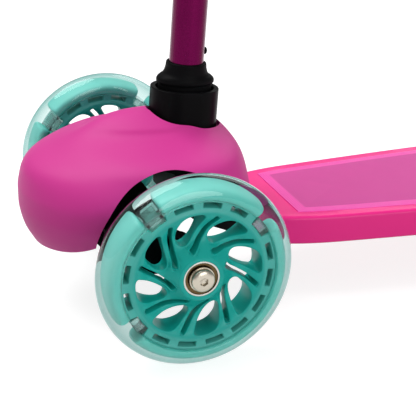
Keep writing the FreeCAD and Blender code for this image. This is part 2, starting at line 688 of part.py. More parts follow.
def build_deck():
    export("deck", deck())
    export("grip_pad", grip_pad())
    under = DECK_TOP - DECK_SKIN - 9.3
    places = [(V(x, y, under), Z) for x, y in tongue_screws()]
    export("deck_screws", screws(places, 4.0, 1.5, 2.2, 8.0))


# ---- stem -------------------------------------------------------------------
def stem_socket():
    """Oval cup that the stem stands in; its rim slopes down to the back."""
    outer = oval(SOCKET_LEN, SOCKET_W, -5, 50).cut(block(V(-60, -60, 0), V(60, 120, STEM_FOOT_Z)))
    inner = oval(SOCKET_LEN - 2 * SOCKET_WALL, SOCKET_W - 2 * SOCKET_WALL, SOCKET_FLOOR, 60)
    past = 10.0
    fall = (RIM_FRONT_Z - RIM_BACK_Z) / SOCKET_LEN * past
    front_y = STEM_FOOT_Y - SOCKET_LEN / 2 - past
    back_y = STEM_FOOT_Y + SOCKET_LEN / 2 + past
    above = extrude_x(face_of([V(0, front_y, RIM_FRONT_Z + fall), V(0, back_y, RIM_BACK_Z - fall),
                               V(0, back_y, 200), V(0, front_y, 200)]), -60, 60)
    return outer.cut([inner, above, rod(SPIGOT_R + FIT_GAP, stem_point(-20), STEM_DIR, 60)])


def boot():
    """Bell that closes the socket around the tube."""
    room = 0.2
    long_half = SOCKET_LEN / 2 - SOCKET_WALL - room
    short_half = SOCKET_W / 2 - SOCKET_WALL + room
    lip = STEM_R + 1.3
    # share of the height, share of the way in to the lip
    fall = ((0.0, 0.3), (0.45, 0.3), (0.47, 0.2), (0.49, 0.08), (0.515, 0.0), (0.565, 0.0), (0.61, 0.09),
            (0.65, 0.27), (0.69, 0.48), (0.73, 0.66), (0.79, 0.78), (0.88, 0.87), (0.97, 0.92), (1.0, 1.0))
    stations = [(BOOT_BOTTOM + (BOOT_TOP - BOOT_BOTTOM) * up, long_half + (lip - long_half) * way,
                 short_half + (lip - short_half) * way) for up, way in fall]
    wires = []
    for s, reach_y, reach_x in stations:
        points = [V(reach_x * math.cos(a), reach_y * math.sin(a), s)
                  for a in [2 * math.pi * i / 12 for i in range(12)]]
        curve = Part.BSplineCurve()
        curve.interpolate(Points=points, PeriodicFlag=True)
        wires.append(Part.Wire(curve.toShape()))
    bell = Part.makeLoft(wires, True, True)
    bell = bell.cut(rod(STEM_R + FIT_GAP, V(0, 0, 0), Z, 100))
    return to_stem(bell)


def snap_button():
    reach = STEM_R + BUTTON_PROUD
    pin = rod(BUTTON_R, V(0, BUTTON_FOOT, BUTTON_S), Y, reach - BUTTON_FOOT)
    pin = pin.makeFillet(1.2, [e for e in pin.Edges if e.BoundBox.YMin > reach - 0.01])
    foot = rod(BUTTON_R + 1.2, V(0, BUTTON_FOOT, BUTTON_S), Y, 1.1)
    return to_stem(pin.fuse(foot))


def snap_spring():
    """Bent strip inside the spigot that holds the button out."""
    near = BUTTON_FOOT
    far = -near - 1.4
    strip = 0.7
    side = [(near, 5), (near, -24), (0, -31), (far, -24), (far, 2), (far + strip, 2), (far + strip, -23.6),
            (0, -29.8), (near - strip, -23.6), (near - strip, 5)]
    return to_stem(extrude_x(face_of([V(0, y, BUTTON_S + s) for y, s in side]), -2.0, 2.0))


def button_hole(extra):
    return rod(BUTTON_R + extra, V(0, 0, BUTTON_S), Y, 30)


def spigot():
    tube = sleeve(SPIGOT_R, SPIGOT_R - SPIGOT_WALL, V(0, 0, -32), Z, SPIGOT_TOP + 32)
    return to_stem(tube.cut(button_hole(RUN_GAP)))


def stem_tube():
    tube = sleeve(STEM_R, STEM_BORE, V(0, 0, STEM_BOTTOM), Z, STEM_TOP - STEM_BOTTOM)
    return to_stem(tube.cut(button_hole(RUN_GAP)))


def clamp_collar():
    """Split collar with two ears in front and a lip over the tube's end."""
    ring = rod(CLAMP_R, V(0, 0, CLAMP_LOW), Z, CLAMP_H)
    ears = block(V(-EAR_HALF, EAR_BACK - 6, CLAMP_LOW + 4), V(EAR_HALF, 0, CLAMP_LOW + 20))
    bore = rod(STEM_R + FIT_GAP, V(0, 0, CLAMP_LOW - 1), Z, STEM_TOP - CLAMP_LOW + 1)
    lip = rod(TUBE_R + RUN_GAP, V(0, 0, CLAMP_LOW), Z, 60)
    split = block(V(-1.2, EAR_BACK - 8, CLAMP_LOW - 1), V(1.2, 0, CLAMP_LOW + CLAMP_H + 1))
    bolt_hole = rod(BOLT_R + FIT_GAP, V(-30, EAR_BACK, CLAMP_LOW + 12), X, 60)
    return to_stem(ring.fuse(ears).cut([bore, lip, split, bolt_hole]).removeSplitter())


def clamp_bolt():
    height = CLAMP_LOW + 12
    shank = rod(BOLT_R, V(-EAR_HALF - 4, EAR_BACK, height), X, EAR_HALF + 4 + LEVER_X)
    nut = rod(4.5, V(-EAR_HALF - 4, EAR_BACK, height), X, 4.0)
    eye = rod(CAM_R - 0.3, V(LEVER_X, EAR_BACK, height - EYE_HALF), Z, 2 * EYE_HALF)
    hole = rod(2.0 + FIT_GAP, V(LEVER_X, EAR_BACK, height - 10), Z, 20)
    return to_stem(shank.fuse([nut, eye]).cut(hole).removeSplitter())


def clamp_pin():
    return to_stem(rod(2.0, V(LEVER_X, EAR_BACK, CLAMP_LOW + 5), Z, 14))


def clamp_lever():
    """Cam lever that lies back along the collar's side when it is shut."""
    height = CLAMP_LOW + 12
    cam = rod(CAM_R, V(LEVER_X, EAR_BACK, height - 7), Z, 14)
    outline = [(LEVER_X - 1, EAR_BACK - 3.6), (LEVER_X + 3.6, EAR_BACK - 1), (CLAMP_R + 5.5, -4),
               (CLAMP_R + 4.5, 14), (CLAMP_R + 2.0, 14), (CLAMP_R + 1.4, -4)]
    arm = face_of([V(x, y, height - 6) for x, y in outline]).extrude(V(0, 0, 12))
    hole = rod(2.0 + RUN_GAP, V(LEVER_X, EAR_BACK, height - 10), Z, 20)
    slot = rod(CAM_R + 1, V(LEVER_X, EAR_BACK, height - EYE_HALF - SOFT_GAP), Z, 2 * (EYE_HALF + SOFT_GAP))
    return to_stem(cam.fuse(arm).cut([hole, slot]).removeSplitter())


def t_bar_tube():
    top = BAR_S - BAR_R - FIT_GAP - 0.6
    return to_stem(sleeve(TUBE_R, TUBE_R - TUBE_WALL, V(0, 0, TUBE_BOTTOM), Z, top - TUBE_BOTTOM))


def bar_tee():
    """Moulded joint between the upright tube and the handlebar."""
    across = rod(BAR_R + 4, V(-26, 0, BAR_S), X, 52)
    down = rod(TUBE_R + 4, V(0, 0, BAR_S - 42), Z, 42)
    joined = across.fuse(down)
    cuts = [rod(BAR_R + FIT_GAP, V(-60, 0, BAR_S), X, 120), rod(TUBE_R + FIT_GAP, V(0, 0, BAR_S - 60), Z, 60)]
    return to_stem(joined.cut(cuts).removeSplitter())


def handlebar():
    return to_stem(sleeve(BAR_R, BAR_R - TUBE_WALL, V(-BAR_HALF + 4, 0, BAR_S), X, 2 * BAR_HALF - 8))


def grip():
    """Soft sleeve with a flange at the hand's inner side and a closed end."""
    inner_end = BAR_HALF - GRIP_LEN
    sleeve_part = rod(GRIP_R - 0.8, V(inner_end, 0, BAR_S), X, GRIP_LEN)
    flange = rod(GRIP_R + 3, V(inner_end, 0, BAR_S), X, 4)
    knob = rod(GRIP_R + 1.5, V(BAR_HALF - 7, 0, BAR_S), X, 7)
    knob = knob.makeFillet(2.5, [e for e in knob.Edges if e.BoundBox.XMin > BAR_HALF - 0.01])
    ridges = [rod(GRIP_R, V(inner_end + 10 + 6 * i, 0, BAR_S), X, 3) for i in range(13)]
    bore = rod(BAR_R + 0.05, V(inner_end - 1, 0, BAR_S), X, GRIP_LEN - 3)
    return sleeve_part.fuse([flange, knob] + ridges).cut(bore).removeSplitter()


def build_stem():
    export("stem_socket", stem_socket())
    export("stem_boot", boot())
    export("stem_spigot", spigot())
    export("stem_tube", stem_tube())
    export("snap_button", snap_button())
    export("snap_spring", snap_spring())
    export("clamp_collar", clamp_collar())
    export("clamp_bolt", clamp_bolt())
    export("clamp_pin", clamp_pin())
    export("clamp_lever", clamp_lever())
    export("t_bar_tube", t_bar_tube())
    export("bar_tee", bar_tee())
    export("handlebar", handlebar())
    left = grip()
    export("grip_left", to_stem(left))
    export("grip_right", to_stem(mirrored(left)))


# ---- rear wheel and brake ---------------------------------------------------
def fender():
    """Brake blade over the rear wheel with its hinge barrel."""
    outer = FENDER_IN_R + FENDER_T
    span = FENDER_TO - FENDER_FROM
    middle = (FENDER_TO + FENDER_FROM) / 2
    start = math.radians(FENDER_FROM)
    stop = math.radians(FENDER_TO)
    centre = math.radians(middle)

    def at(radius, angle):
        return REAR_AXLE + V(0, radius * math.cos(angle), radius * math.sin(angle))

    inner = FENDER_IN_R
    outline = Part.Wire([Part.Arc(at(outer, start), at(outer, centre), at(outer, stop)).toShape(),
                         Part.makeLine(at(outer, stop), at(inner, stop)),
                         Part.Arc(at(inner, stop), at(inner, centre), at(inner, start)).toShape(),
                         Part.makeLine(at(inner, start), at(outer, start))])
    blade = extrude_x(Part.Face(outline), -FENDER_HALF, FENDER_HALF)
    barrel = rod(5.0, V(-FENDER_HALF, HINGE_Y, HINGE_Z), X, 2 * FENDER_HALF)
    link = face_of([V(0, HINGE_Y, HINGE_Z + 5), at(outer, stop), at(inner, stop), V(0, HINGE_Y + 2, HINGE_Z)])
    hole = rod(HINGE_PIN_R + RUN_GAP, V(-30, HINGE_Y, HINGE_Z), X, 60)
    notch = block(V(-5.2, HINGE_Y - 7, HINGE_Z - 7), V(5.2, HINGE_Y + 5.4, HINGE_Z + 7))
    arm = extrude_x(link, -FENDER_HALF, FENDER_HALF)
    return blade.fuse([arm, barrel]).cut([hole, notch]).removeSplitter()


def brake_pad():
    """Steel rubbing plate under the blade."""
    plate = sleeve(FENDER_IN_R, FENDER_IN_R - 1.0, V(-9, REAR_AXLE.y, REAR_AXLE.z), X, 18)
    window = block(V(-9, WHEELBASE - 18, REAR_R), V(9, WHEELBASE + 18, REAR_R + 60))
    return plate.common(window)


def brake_spring():
    """Coil around the hinge pin that lifts the blade."""
    coils = []
    wire_r = 0.8
    for i in range(5):
        ring = Part.makeTorus(HINGE_PIN_R + wire_r + 0.2, wire_r, V(-3.6 + 1.8 * i, HINGE_Y, HINGE_Z), X)
        coils.append(ring)
    bar = block(V(-4.0, HINGE_Y - 3.9, HINGE_Z - 0.5), V(4.0, HINGE_Y - 3.1, HINGE_Z + 0.5))
    return coils[0].fuse(coils[1:] + [bar])


def build_rear():
    for name, piece in (("rear_wheel_core", rear_core()),
                        ("rear_tyre", tyre_outline(REAR_R, 31.5, WHEEL_HALF, REAR_TREAD_RISE)),
                        ("rear_bearing_outer", bearing_rings(RACE_R + RUN_GAP, BEARING_R)),
                        ("rear_bearing_inner", bearing_rings(AXLE_R + FIT_GAP, RACE_R)),
                        ("rear_axle_spacer", wheel_spacer())):
        export(name, to_wheel(piece, 0, REAR_AXLE))
    outside = FORK_IN + FORK_T
    bolt = rod(AXLE_R, REAR_AXLE - X * (outside + 7), X, 2 * outside + 7)
    bolt = bolt.fuse(rod(BOLT_HEAD_R, REAR_AXLE + X * outside, X, BOLT_HEAD_H))
    export("rear_axle_bolt", bolt)
    nut = rod(BOLT_HEAD_R, REAR_AXLE - X * (outside + 6), X, 6).cut(rod(AXLE_R, REAR_AXLE - X * 60, X, 60))
    export("rear_axle_nut", nut)
    gap = FORK_IN - HUB_HALF + 0.2
    washers = [sleeve(RACE_R, AXLE_R + FIT_GAP, REAR_AXLE + X * side * (HUB_HALF - 0.2), X * side, gap)
               for side in (-1, 1)]
    export("rear_washers", group(washers))
    export("brake_fender", fender())
    export("brake_pad", brake_pad())
    export("brake_spring", brake_spring())
    pin = rod(HINGE_PIN_R, V(-FORK_IN - 5, HINGE_Y, HINGE_Z), X, 2 * FORK_IN + 10)
    export("brake_hinge_pin", pin)


os.makedirs("parts", exist_ok=True)
build_front_wheels()
build_steering()
export("front_cover", front_cover())
export("cover_screws", cover_screws())
build_deck()
build_stem()
build_rear()
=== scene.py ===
import bmesh
import bpy
import json
import math
import numpy as np
from bpy.props import FloatProperty, FloatVectorProperty, IntProperty, PointerProperty
from mathutils import Matrix, Vector
from mathutils.geometry import delaunay_2d_cdt

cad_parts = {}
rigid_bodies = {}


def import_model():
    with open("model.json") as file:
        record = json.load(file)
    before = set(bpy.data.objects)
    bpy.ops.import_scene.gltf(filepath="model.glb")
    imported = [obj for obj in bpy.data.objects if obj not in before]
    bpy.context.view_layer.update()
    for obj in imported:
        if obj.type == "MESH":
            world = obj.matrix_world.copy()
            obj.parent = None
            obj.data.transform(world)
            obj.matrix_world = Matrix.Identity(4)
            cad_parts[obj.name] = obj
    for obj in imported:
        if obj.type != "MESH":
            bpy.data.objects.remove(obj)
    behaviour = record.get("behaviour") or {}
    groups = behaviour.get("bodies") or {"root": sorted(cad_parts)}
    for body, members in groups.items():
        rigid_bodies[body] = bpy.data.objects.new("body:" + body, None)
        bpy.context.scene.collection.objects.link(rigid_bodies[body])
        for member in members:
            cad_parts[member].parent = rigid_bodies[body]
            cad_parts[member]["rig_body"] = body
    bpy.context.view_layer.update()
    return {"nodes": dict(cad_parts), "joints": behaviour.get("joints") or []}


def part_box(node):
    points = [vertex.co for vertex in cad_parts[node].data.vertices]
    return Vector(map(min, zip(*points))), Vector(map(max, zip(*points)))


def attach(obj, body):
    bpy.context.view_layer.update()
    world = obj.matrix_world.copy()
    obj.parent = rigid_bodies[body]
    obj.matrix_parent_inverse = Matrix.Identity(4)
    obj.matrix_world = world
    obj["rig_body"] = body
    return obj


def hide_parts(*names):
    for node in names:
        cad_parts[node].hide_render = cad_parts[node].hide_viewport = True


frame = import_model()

bl_info = {
    "name": "Kick scooter",
    "version": (1, 0, 0),
    "blender": (4, 5, 0),
    "location": "View3D > Sidebar > Scooter",
    "description": "Surfaces and finishes of a three-wheeled child's kick scooter",
    "category": "Object",
}

MM = 0.001


# ---- places read from the frame ---------------------------------------------
def middle(node):
    """Centre of a node's box."""
    low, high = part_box(node)
    return (low + high) / 2


def span(node):
    """Size of a node's box."""
    low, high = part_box(node)
    return high - low


WHEEL_MID = middle("wheel_tyre_left")          # middle of the left front wheel
WHEEL_R = span("wheel_tyre_left").z / 2
WHEEL_HALF = span("wheel_tyre_left").x / 2
HUB_HALF = span("wheel_core_left").x / 2
CORE_R = span("wheel_core_left").z / 2
REAR_MID = middle("rear_tyre")
REAR_R = span("rear_tyre").z / 2
DECK_LOW, DECK_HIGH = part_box("deck")
PAD_LOW, PAD_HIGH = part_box("grip_pad")
COVER_LOW, COVER_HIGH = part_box("front_cover")
BAR_JOINT = next(j for j in frame["joints"] if j["name"] == "bar_height")
STEM_AXIS = Vector(BAR_JOINT["axis"]).normalized()
STEM_BACK = Vector((0.0, STEM_AXIS.z, -STEM_AXIS.y))
STEM_MIDDLE = 190.0 * MM      # from the stem's foot up to the middle of its tube
STEM_FOOT = middle("stem_tube") - STEM_AXIS * STEM_MIDDLE


# ---- mesh helpers -----------------------------------------------------------
def linked(name, data):
    """A new object in the scene."""
    made = bpy.data.objects.new(name, data)
    bpy.context.scene.collection.objects.link(made)
    return made


def new_object(name, mesh, finish, body, replaced):
    """Put a mesh in the scene, give it its finish and its place in the frame."""
    piece = linked(name, mesh)
    mesh.materials.clear()
    mesh.materials.append(finishes()[finish])
    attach(piece, body)
    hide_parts(replaced)
    return piece


def skin(node, mesh, finish, body, degrees=32):
    """Put in the scene a mesh that stands for the CAD node it is named after."""
    return new_object(node + "_skin", sharpen(mesh, degrees), finish, body, node)


def mesh_of(name, points, faces, smooth=True):
    """A mesh from an array of points and lists of face corners."""
    mesh = bpy.data.meshes.new(name)
    mesh.from_pydata([tuple(p) for p in points], [], [tuple(int(i) for i in f) for f in faces])
    mesh.validate()
    mesh.polygons.foreach_set("use_smooth", np.full(len(mesh.polygons), smooth))
    mesh.update()
    return mesh


def grid_faces(rows, cols, wrap_rows=False, wrap_cols=False, start=0):
    """Corner numbers of the quads of a grid, joined round where it wraps."""
    r = np.arange(rows if wrap_rows else rows - 1)
    c = np.arange(cols if wrap_cols else cols - 1)
    i, j = np.meshgrid(r, c, indexing="ij")
    i2, j2 = (i + 1) % rows, (j + 1) % cols
    quads = np.stack([i * cols + j, i2 * cols + j, i2 * cols + j2, i * cols + j2], -1)
    return quads.reshape(-1, 4) + start


def capped(rows, turns):
    """Faces of a stack of closed rings, with a cap on the first and on the last."""
    last = (rows - 1) * turns
    caps = [list(range(turns))[::-1], [last + k for k in range(turns)]]
    return list(grid_faces(rows, turns, False, True)) + caps


def lathe(profile, turns=96, closed=True):
    """Points and faces of a (radius, height) outline carried round the third axis.

    A closed outline makes a ring, and an open one is capped at its ends.
    """
    profile = np.asarray(profile, float)
    angle = np.linspace(0, 2 * np.pi, turns, endpoint=False)
    r, a = np.meshgrid(profile[:, 0], angle, indexing="ij")
    h = np.repeat(profile[:, 1][:, None], turns, 1)
    points = np.stack([r * np.cos(a), r * np.sin(a), h], -1).reshape(-1, 3)
    faces = grid_faces(len(profile), turns, True, True) if closed else capped(len(profile), turns)
    return points, faces


def superellipse(value, power):
    """The value to the power, with its sign kept."""
    return np.sign(value) * np.abs(value) ** power


def rounded(outline, radius, steps=4):
    """Round the corners of a closed (u, v) outline with arcs as quadratic curves."""
    outline = [np.asarray(p[:2], float) for p in outline]
    made = []
    count = len(outline)
    for k, corner in enumerate(outline):
        before, after = outline[k - 1], outline[(k + 1) % count]
        back, on = before - corner, after - corner
        cut = min(radius, 0.45 * np.linalg.norm(back), 0.45 * np.linalg.norm(on))
        a = corner + back / np.linalg.norm(back) * cut
        b = corner + on / np.linalg.norm(on) * cut
        for t in np.linspace(0, 1, steps + 1):
            made.append((1 - t) ** 2 * a + 2 * t * (1 - t) * corner + t ** 2 * b)
    return np.array(made)


def catmull_rom(p0, p1, p2, p3, per_side):
    """Points of the Catmull-Rom curve between each p1 and p2."""
    t = np.linspace(0, 1, per_side, endpoint=False)[:, None, None]
    curve = 0.5 * (2 * p1 + (p2 - p0) * t + (2 * p0 - 5 * p1 + 4 * p2 - p3) * t ** 2
                   + (3 * p1 - p0 - 3 * p2 + p3) * t ** 3)
    return curve.transpose(1, 0, 2).reshape(-1, p1.shape[1])


def smooth_loop(points, per_side):
    """The smooth closed curve through the given points."""
    p = np.asarray(points, float)
    return catmull_rom(np.roll(p, 1, 0), p, np.roll(p, -1, 0), np.roll(p, -2, 0), per_side)


def smooth_run(table, per_side):
    """The smooth open curve through the rows of a table."""
    p = np.asarray(table, float)
    p = np.vstack([2 * p[0] - p[1], p, 2 * p[-1] - p[-2]])
    return np.vstack([catmull_rom(p[:-3], p[1:-2], p[2:-1], p[3:], per_side), p[-2]])


def joined(parts):
    """Several (points, faces) pairs as one."""
    points, faces, start = [], [], 0
    for part_points, part_faces in parts:
        points.append(np.asarray(part_points, float))
        faces += [[int(i) + start for i in f] for f in part_faces]
        start += len(part_points)
    return np.vstack(points), faces


def stand_on_axle(points, centre, flip=False):
    """Turn flat-drawn wheel points so that their third axis is the axle's, outwards."""
    points = np.asarray(points, float)
    turned = points[:, [2, 0, 1]].copy()
    if flip:
        turned[:, :2] *= -1
    return turned + np.array(centre)


def lean_with_stem(points):
    """Stand points drawn upright at the origin on the stem's leaning axis."""
    points = np.asarray(points, float)
    axis, back = np.array(STEM_AXIS), np.array(STEM_BACK)
    across = np.array([1.0, 0.0, 0.0])
    return np.array(STEM_FOOT) + points[:, :1] * across + points[:, 1:2] * back + points[:, 2:3] * axis


def welded(mesh, distance, outwards=False):
    """The mesh with its doubled points merged and, if asked, every face pointed outwards."""
    work = bmesh.new()
    work.from_mesh(mesh)
    bmesh.ops.remove_doubles(work, verts=work.verts, dist=distance)
    if outwards:
        bmesh.ops.recalc_face_normals(work, faces=work.faces)
    work.to_mesh(mesh)
    work.free()
    return mesh


def closed_mesh(name, made):
    """A mesh from a (points, faces) pair, its faces outwards."""
    return welded(mesh_of(name, *made), 1e-6, outwards=True)


def sharpen(mesh, degrees):
    """Smooth shading that breaks at edges sharper than the angle."""
    mesh.polygons.foreach_set("use_smooth", np.full(len(mesh.polygons), True))
    mesh.set_sharp_from_angle(angle=math.radians(degrees))
    return mesh


def outward(loop, solid_inside):
    """Unit normals of a closed flat loop that point away from the material."""
    along = np.roll(loop, -1, 0) - np.roll(loop, 1, 0)
    normal = np.stack([along[:, 1], -along[:, 0]], -1)
    normal /= np.maximum(np.linalg.norm(normal, axis=1), 1e-12)[:, None]
    x, y = loop[:, 0], loop[:, 1]
    area = 0.5 * np.sum(x * np.roll(y, -1) - np.roll(x, -1) * y)
    turn = 1.0 if area > 0 else -1.0
    return normal * turn * (1.0 if solid_inside else -1.0)


def plate(outlines, height, ease):
    """A plate between two faces from (closed outline, draft) pairs, the later ones holes.

    The faces lie at plus and minus height(radius). The edge of every outline is eased
    over a quarter round, and its wall leans in by its draft towards the middle.
    """
    points, faces, start = [], [], 0
    top, bottom = [], []
    turn = np.radians(np.linspace(0, 90, 4))
    for k, (loop, draft) in enumerate(outlines):
        away = outward(loop, k == 0)
        count = len(loop)
        rim = height(np.linalg.norm(loop, axis=1))
        rings = []
        for angle in turn:
            move = -ease * (1 - np.sin(angle))
            rings.append(np.column_stack([loop + away * move, rim - ease * (1 - np.cos(angle))]))
        rings.append(np.column_stack([loop + away * draft, np.zeros(count)]))
        rings += [ring * (1, 1, -1) for ring in rings[-2::-1]]
        points.append(np.vstack(rings))
        faces += list(grid_faces(len(rings), count, False, True, start))
        top.append(rings[0])
        bottom.append(rings[-1])
        start += len(rings) * count
    for sheet, side in ((top, 1.0), (bottom, -1.0)):
        made_points, made_faces = filled(sheet, height, side)
        faces += [[i + start for i in f] for f in made_faces]
        points.append(made_points)
        start += len(made_points)
    return np.vstack(points), faces


# the rings of points spread over a filled face, mm: first, last and step in radius, and step along a ring
SPREAD = (14.2, 46.5, 1.15, 1.5)
SPREAD_TWIST = 900            # radians per metre, so that the rings don't line up


def filled(sheet, height, side):
    """Fill a face between its loops, with extra points spread over it so that it can follow the dish."""
    loops = [ring[:, :2] for ring in sheet]
    corners = np.vstack(loops)
    edges, start = [], 0
    for loop in loops:
        edges += [(start + i, start + (i + 1) % len(loop)) for i in range(len(loop))]
        start += len(loop)
    extra = []
    first, last, step, along = SPREAD
    for radius in np.arange(first, last, step) * MM:
        count = max(24, int(2 * np.pi * radius / (along * MM)))
        angle = np.linspace(0, 2 * np.pi, count, endpoint=False) + radius * SPREAD_TWIST
        extra.append(np.stack([radius * np.cos(angle), radius * np.sin(angle)], -1))
    extra = np.vstack(extra)
    extra = extra[on_face(extra, loops)]
    everything = [Vector(p) for p in np.vstack([corners, extra])]
    made, _, triangles, *_ = delaunay_2d_cdt(everything, edges, [], 0, 1e-9)
    made = np.array([tuple(p) for p in made])
    centre = np.array([made[list(t)].mean(0) for t in triangles])
    level = side * height(np.linalg.norm(made, axis=1))
    edge = np.concatenate([ring[:, 2] for ring in sheet])
    level[:len(edge)] = edge
    return np.column_stack([made, level]), [t for t, on in zip(triangles, on_face(centre, loops)) if on]


def on_face(points, loops):
    """Which points lie in the first loop and in none of the others."""
    keep = inside(points, loops[0])
    for hole in loops[1:]:
        keep &= ~inside(points, hole)
    return keep


def inside(points, loop):
    """Which points lie in a closed loop: an odd number of its edges pass to their right."""
    x, y = points[:, 0][:, None], points[:, 1][:, None]
    ax, ay = loop[:, 0][None], loop[:, 1][None]
    bx, by = np.roll(loop[:, 0], -1)[None], np.roll(loop[:, 1], -1)[None]
    spans = (ay > y) != (by > y)
    with np.errstate(divide="ignore", invalid="ignore"):
        cross = (bx - ax) * (y - ay) / (by - ay) + ax
    return (np.sum(spans & (x < cross), axis=1) % 2) == 1


def carved(mesh, cutters, name):
    """The mesh with each closed cutter mesh taken away from it."""
    body = linked(name, mesh)
    tools = []
    for k, cutter in enumerate(cutters):
        tool = linked("cutter_%d" % k, cutter)
        cut = body.modifiers.new("cut_%d" % k, "BOOLEAN")
        cut.operation = "DIFFERENCE"
        cut.solver = "EXACT"
        cut.object = tool
        tools.append(tool)
    graph = bpy.context.evaluated_depsgraph_get()
    result = bpy.data.meshes.new_from_object(body.evaluated_get(graph))
    for extra in tools + [body]:
        bpy.data.objects.remove(extra)
    return result


def eased(piece, width, segments, degrees):
    """Round the edges that are sharper than the angle."""
    ease = piece.modifiers.new("ease", "BEVEL")
    ease.width = width
    ease.segments = segments
    ease.limit_method = "ANGLE"
    ease.angle_limit = math.radians(degrees)
    ease.harden_normals = True


def refined(finish, slot, bevel, *nodes):
    """Stand merged, smooth-shaded copies of the CAD meshes in for the nodes; the bevel is in mm."""
    for node in nodes:
        source = frame["nodes"][node]
        piece = skin(node, welded(source.data.copy(), 2e-6), finish, source["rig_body"], 28)
        if bevel:
            eased(piece, bevel * MM, 2, 40)


# ---- shader helpers ---------------------------------------------------------
class Wire:
    """A number socket that takes part in sums."""

    def __init__(self, make, socket):
        self.make = make
        self.socket = socket

    def _math(self, operation, other=0.0, clamp=False):
        return self.make.node("ShaderNodeMath", {"operation": operation, "use_clamp": clamp},
                              {0: self, 1: other})[0]

    def __add__(self, other):
        return self._math("ADD", other)

    def __sub__(self, other):
        return self._math("SUBTRACT", other)

    def __rsub__(self, other):
        return self.make.node("ShaderNodeMath", {"operation": "SUBTRACT"}, {0: other, 1: self})[0]

    def __mul__(self, other):
        return self._math("MULTIPLY", other)

    def __truediv__(self, other):
        return self._math("DIVIDE", other)

    def __pow__(self, other):
        return self._math("POWER", other)

    def sin(self):
        return self._math("SINE")

    def clamped(self):
        return self._math("ADD", clamp=True)

    def above(self, edge, softness):
        """0 below the edge and 1 above it, with a soft step."""
        return self.make.node("ShaderNodeMapRange", {"interpolation_type": "SMOOTHSTEP"},
                              {"Value": self, "From Min": edge - softness, "From Max": edge + softness,
                               "To Min": 0.0, "To Max": 1.0})[0]


class Maker:
    """Builds the nodes of one material, or of the world."""

    def __init__(self, name, world=False):
        self.owner = (bpy.data.worlds if world else bpy.data.materials).new(name)
        self.owner.use_nodes = True
        self.tree = self.owner.node_tree
        self.tree.nodes.clear()
        self.output = self.tree.nodes.new("ShaderNodeOutputWorld" if world else "ShaderNodeOutputMaterial")

    def node(self, kind, settings=None, values=None):
        """Add a node, set it up, fill its sockets, and return its outputs as wires."""
        made = self.tree.nodes.new(kind)
        for key, value in (settings or {}).items():
            if key == "stops":
                self._ramp(made, value)
            else:
                setattr(made, key, value)
        for key, value in (values or {}).items():
            self.fill(made.inputs[key], value)
        return [Wire(self, s) for s in made.outputs]

    def _ramp(self, made, stops):
        ramp = made.color_ramp
        ramp.interpolation = "EASE"
        ends = (stops[0], stops[-1])
        for element, (place, colour) in zip(ramp.elements, ends):
            element.position = place
            element.color = (*colour, 1.0)
        for place, colour in stops[1:-1]:
            ramp.elements.new(place).color = (*colour, 1.0)

    def fill(self, socket, value):
        if isinstance(value, Wire):
            self.tree.links.new(value.socket, socket)
        elif hasattr(socket.default_value, "__len__") and len(socket.default_value) == 4 and len(value) == 3:
            socket.default_value = (*value, 1.0)
        else:
            socket.default_value = value

    def place(self):
        """Object coordinates."""
        return self.node("ShaderNodeTexCoord")[3]

    def split(self, vector):
        return self.node("ShaderNodeSeparateXYZ", None, {0: vector})

    def noise(self, vector, scale, detail=3.0, rough=0.5):
        return self.node("ShaderNodeTexNoise", None,
                         {"Vector": vector, "Scale": scale, "Detail": detail, "Roughness": rough})[0]

    def stretched(self, vector, x, y, z):
        return self.node("ShaderNodeMapping", None, {"Vector": vector, "Scale": (x, y, z)})[0]

    def mix(self, share, first, second):
        """A colour between two."""
        return self.node("ShaderNodeMix", {"data_type": "RGBA"}, {0: share, 6: first, 7: second})[2]

    def mixed(self, share, first, second):
        """A shader between two."""
        return self.node("ShaderNodeMixShader", None, {0: share, 1: first, 2: second})[0]

    def ray(self, kind):
        """1 on the rays of a kind and 0 on others."""
        return Wire(self, self.tree.nodes.new("ShaderNodeLightPath").outputs[kind])

    def bump(self, height, distance, strength):
        return self.node("ShaderNodeBump", None,
                         {"Height": height, "Distance": distance, "Strength": strength})[0]

    def surface(self, **values):
        """End in the Principled shader; names with underscores stand for spaces."""
        values = {key.replace("_", " "): value for key, value in values.items()}
        return self.finish(self.node("ShaderNodeBsdfPrincipled", None, values)[0])

    def finish(self, shader):
        """Join the last shader to the output and return the material or world."""
        self.tree.links.new(shader.socket, self.output.inputs["Surface"])
        return self.owner


def linear(red, green, blue):
    """A colour given as 0-255 display values, as the renderer's linear ones."""
    def one(value):
        v = value / 255
        return v / 12.92 if v <= 0.04045 else ((v + 0.055) / 1.055) ** 2.4
    return (one(red), one(green), one(blue))


# ---- finishes ---------------------------------------------------------------
def deeper(colour, share):
    """A colour's linear values, all brought down to a share of themselves."""
    return tuple(v * share for v in colour)


def moulded_pink(name, colour, deep, rough):
    """Satin moulding: slow drift of shade, fine spark-eroded grain and faint wear in the gloss."""
    m = Maker(name)
    place = m.place()
    drift = m.noise(place, 14.0, 2.0)
    grain = m.noise(place, 1500.0, 2.0, 0.6)
    scuff = m.noise(place, 160.0, 5.0, 0.7)
    return m.surface(Base_Color=m.mix((drift * 0.5).clamped(), colour, deeper(colour, deep)),
                     Roughness=scuff * 0.1 + (rough - 0.05),
                     Normal=m.bump(grain, 0.00005, 0.35), Specular_IOR_Level=0.22)


def satin_black(name, rough=0.34, grey=0.003):
    """Black moulding with a spark-eroded grain and paler rubbed patches."""
    m = Maker(name)
    place = m.place()
    grain = m.noise(place, 1300.0, 2.0)
    rub = m.noise(place, 60.0, 4.0, 0.65)
    shade = m.mix(rub.above(0.62, 0.15) * 0.5, (grey, grey, grey * 1.1), (0.007, 0.007, 0.009))
    return m.surface(Base_Color=shade,
                     Roughness=rub * 0.16 + (rough - 0.08), Specular_IOR_Level=0.04,
                     Normal=m.bump(grain, 0.00003, 0.3))


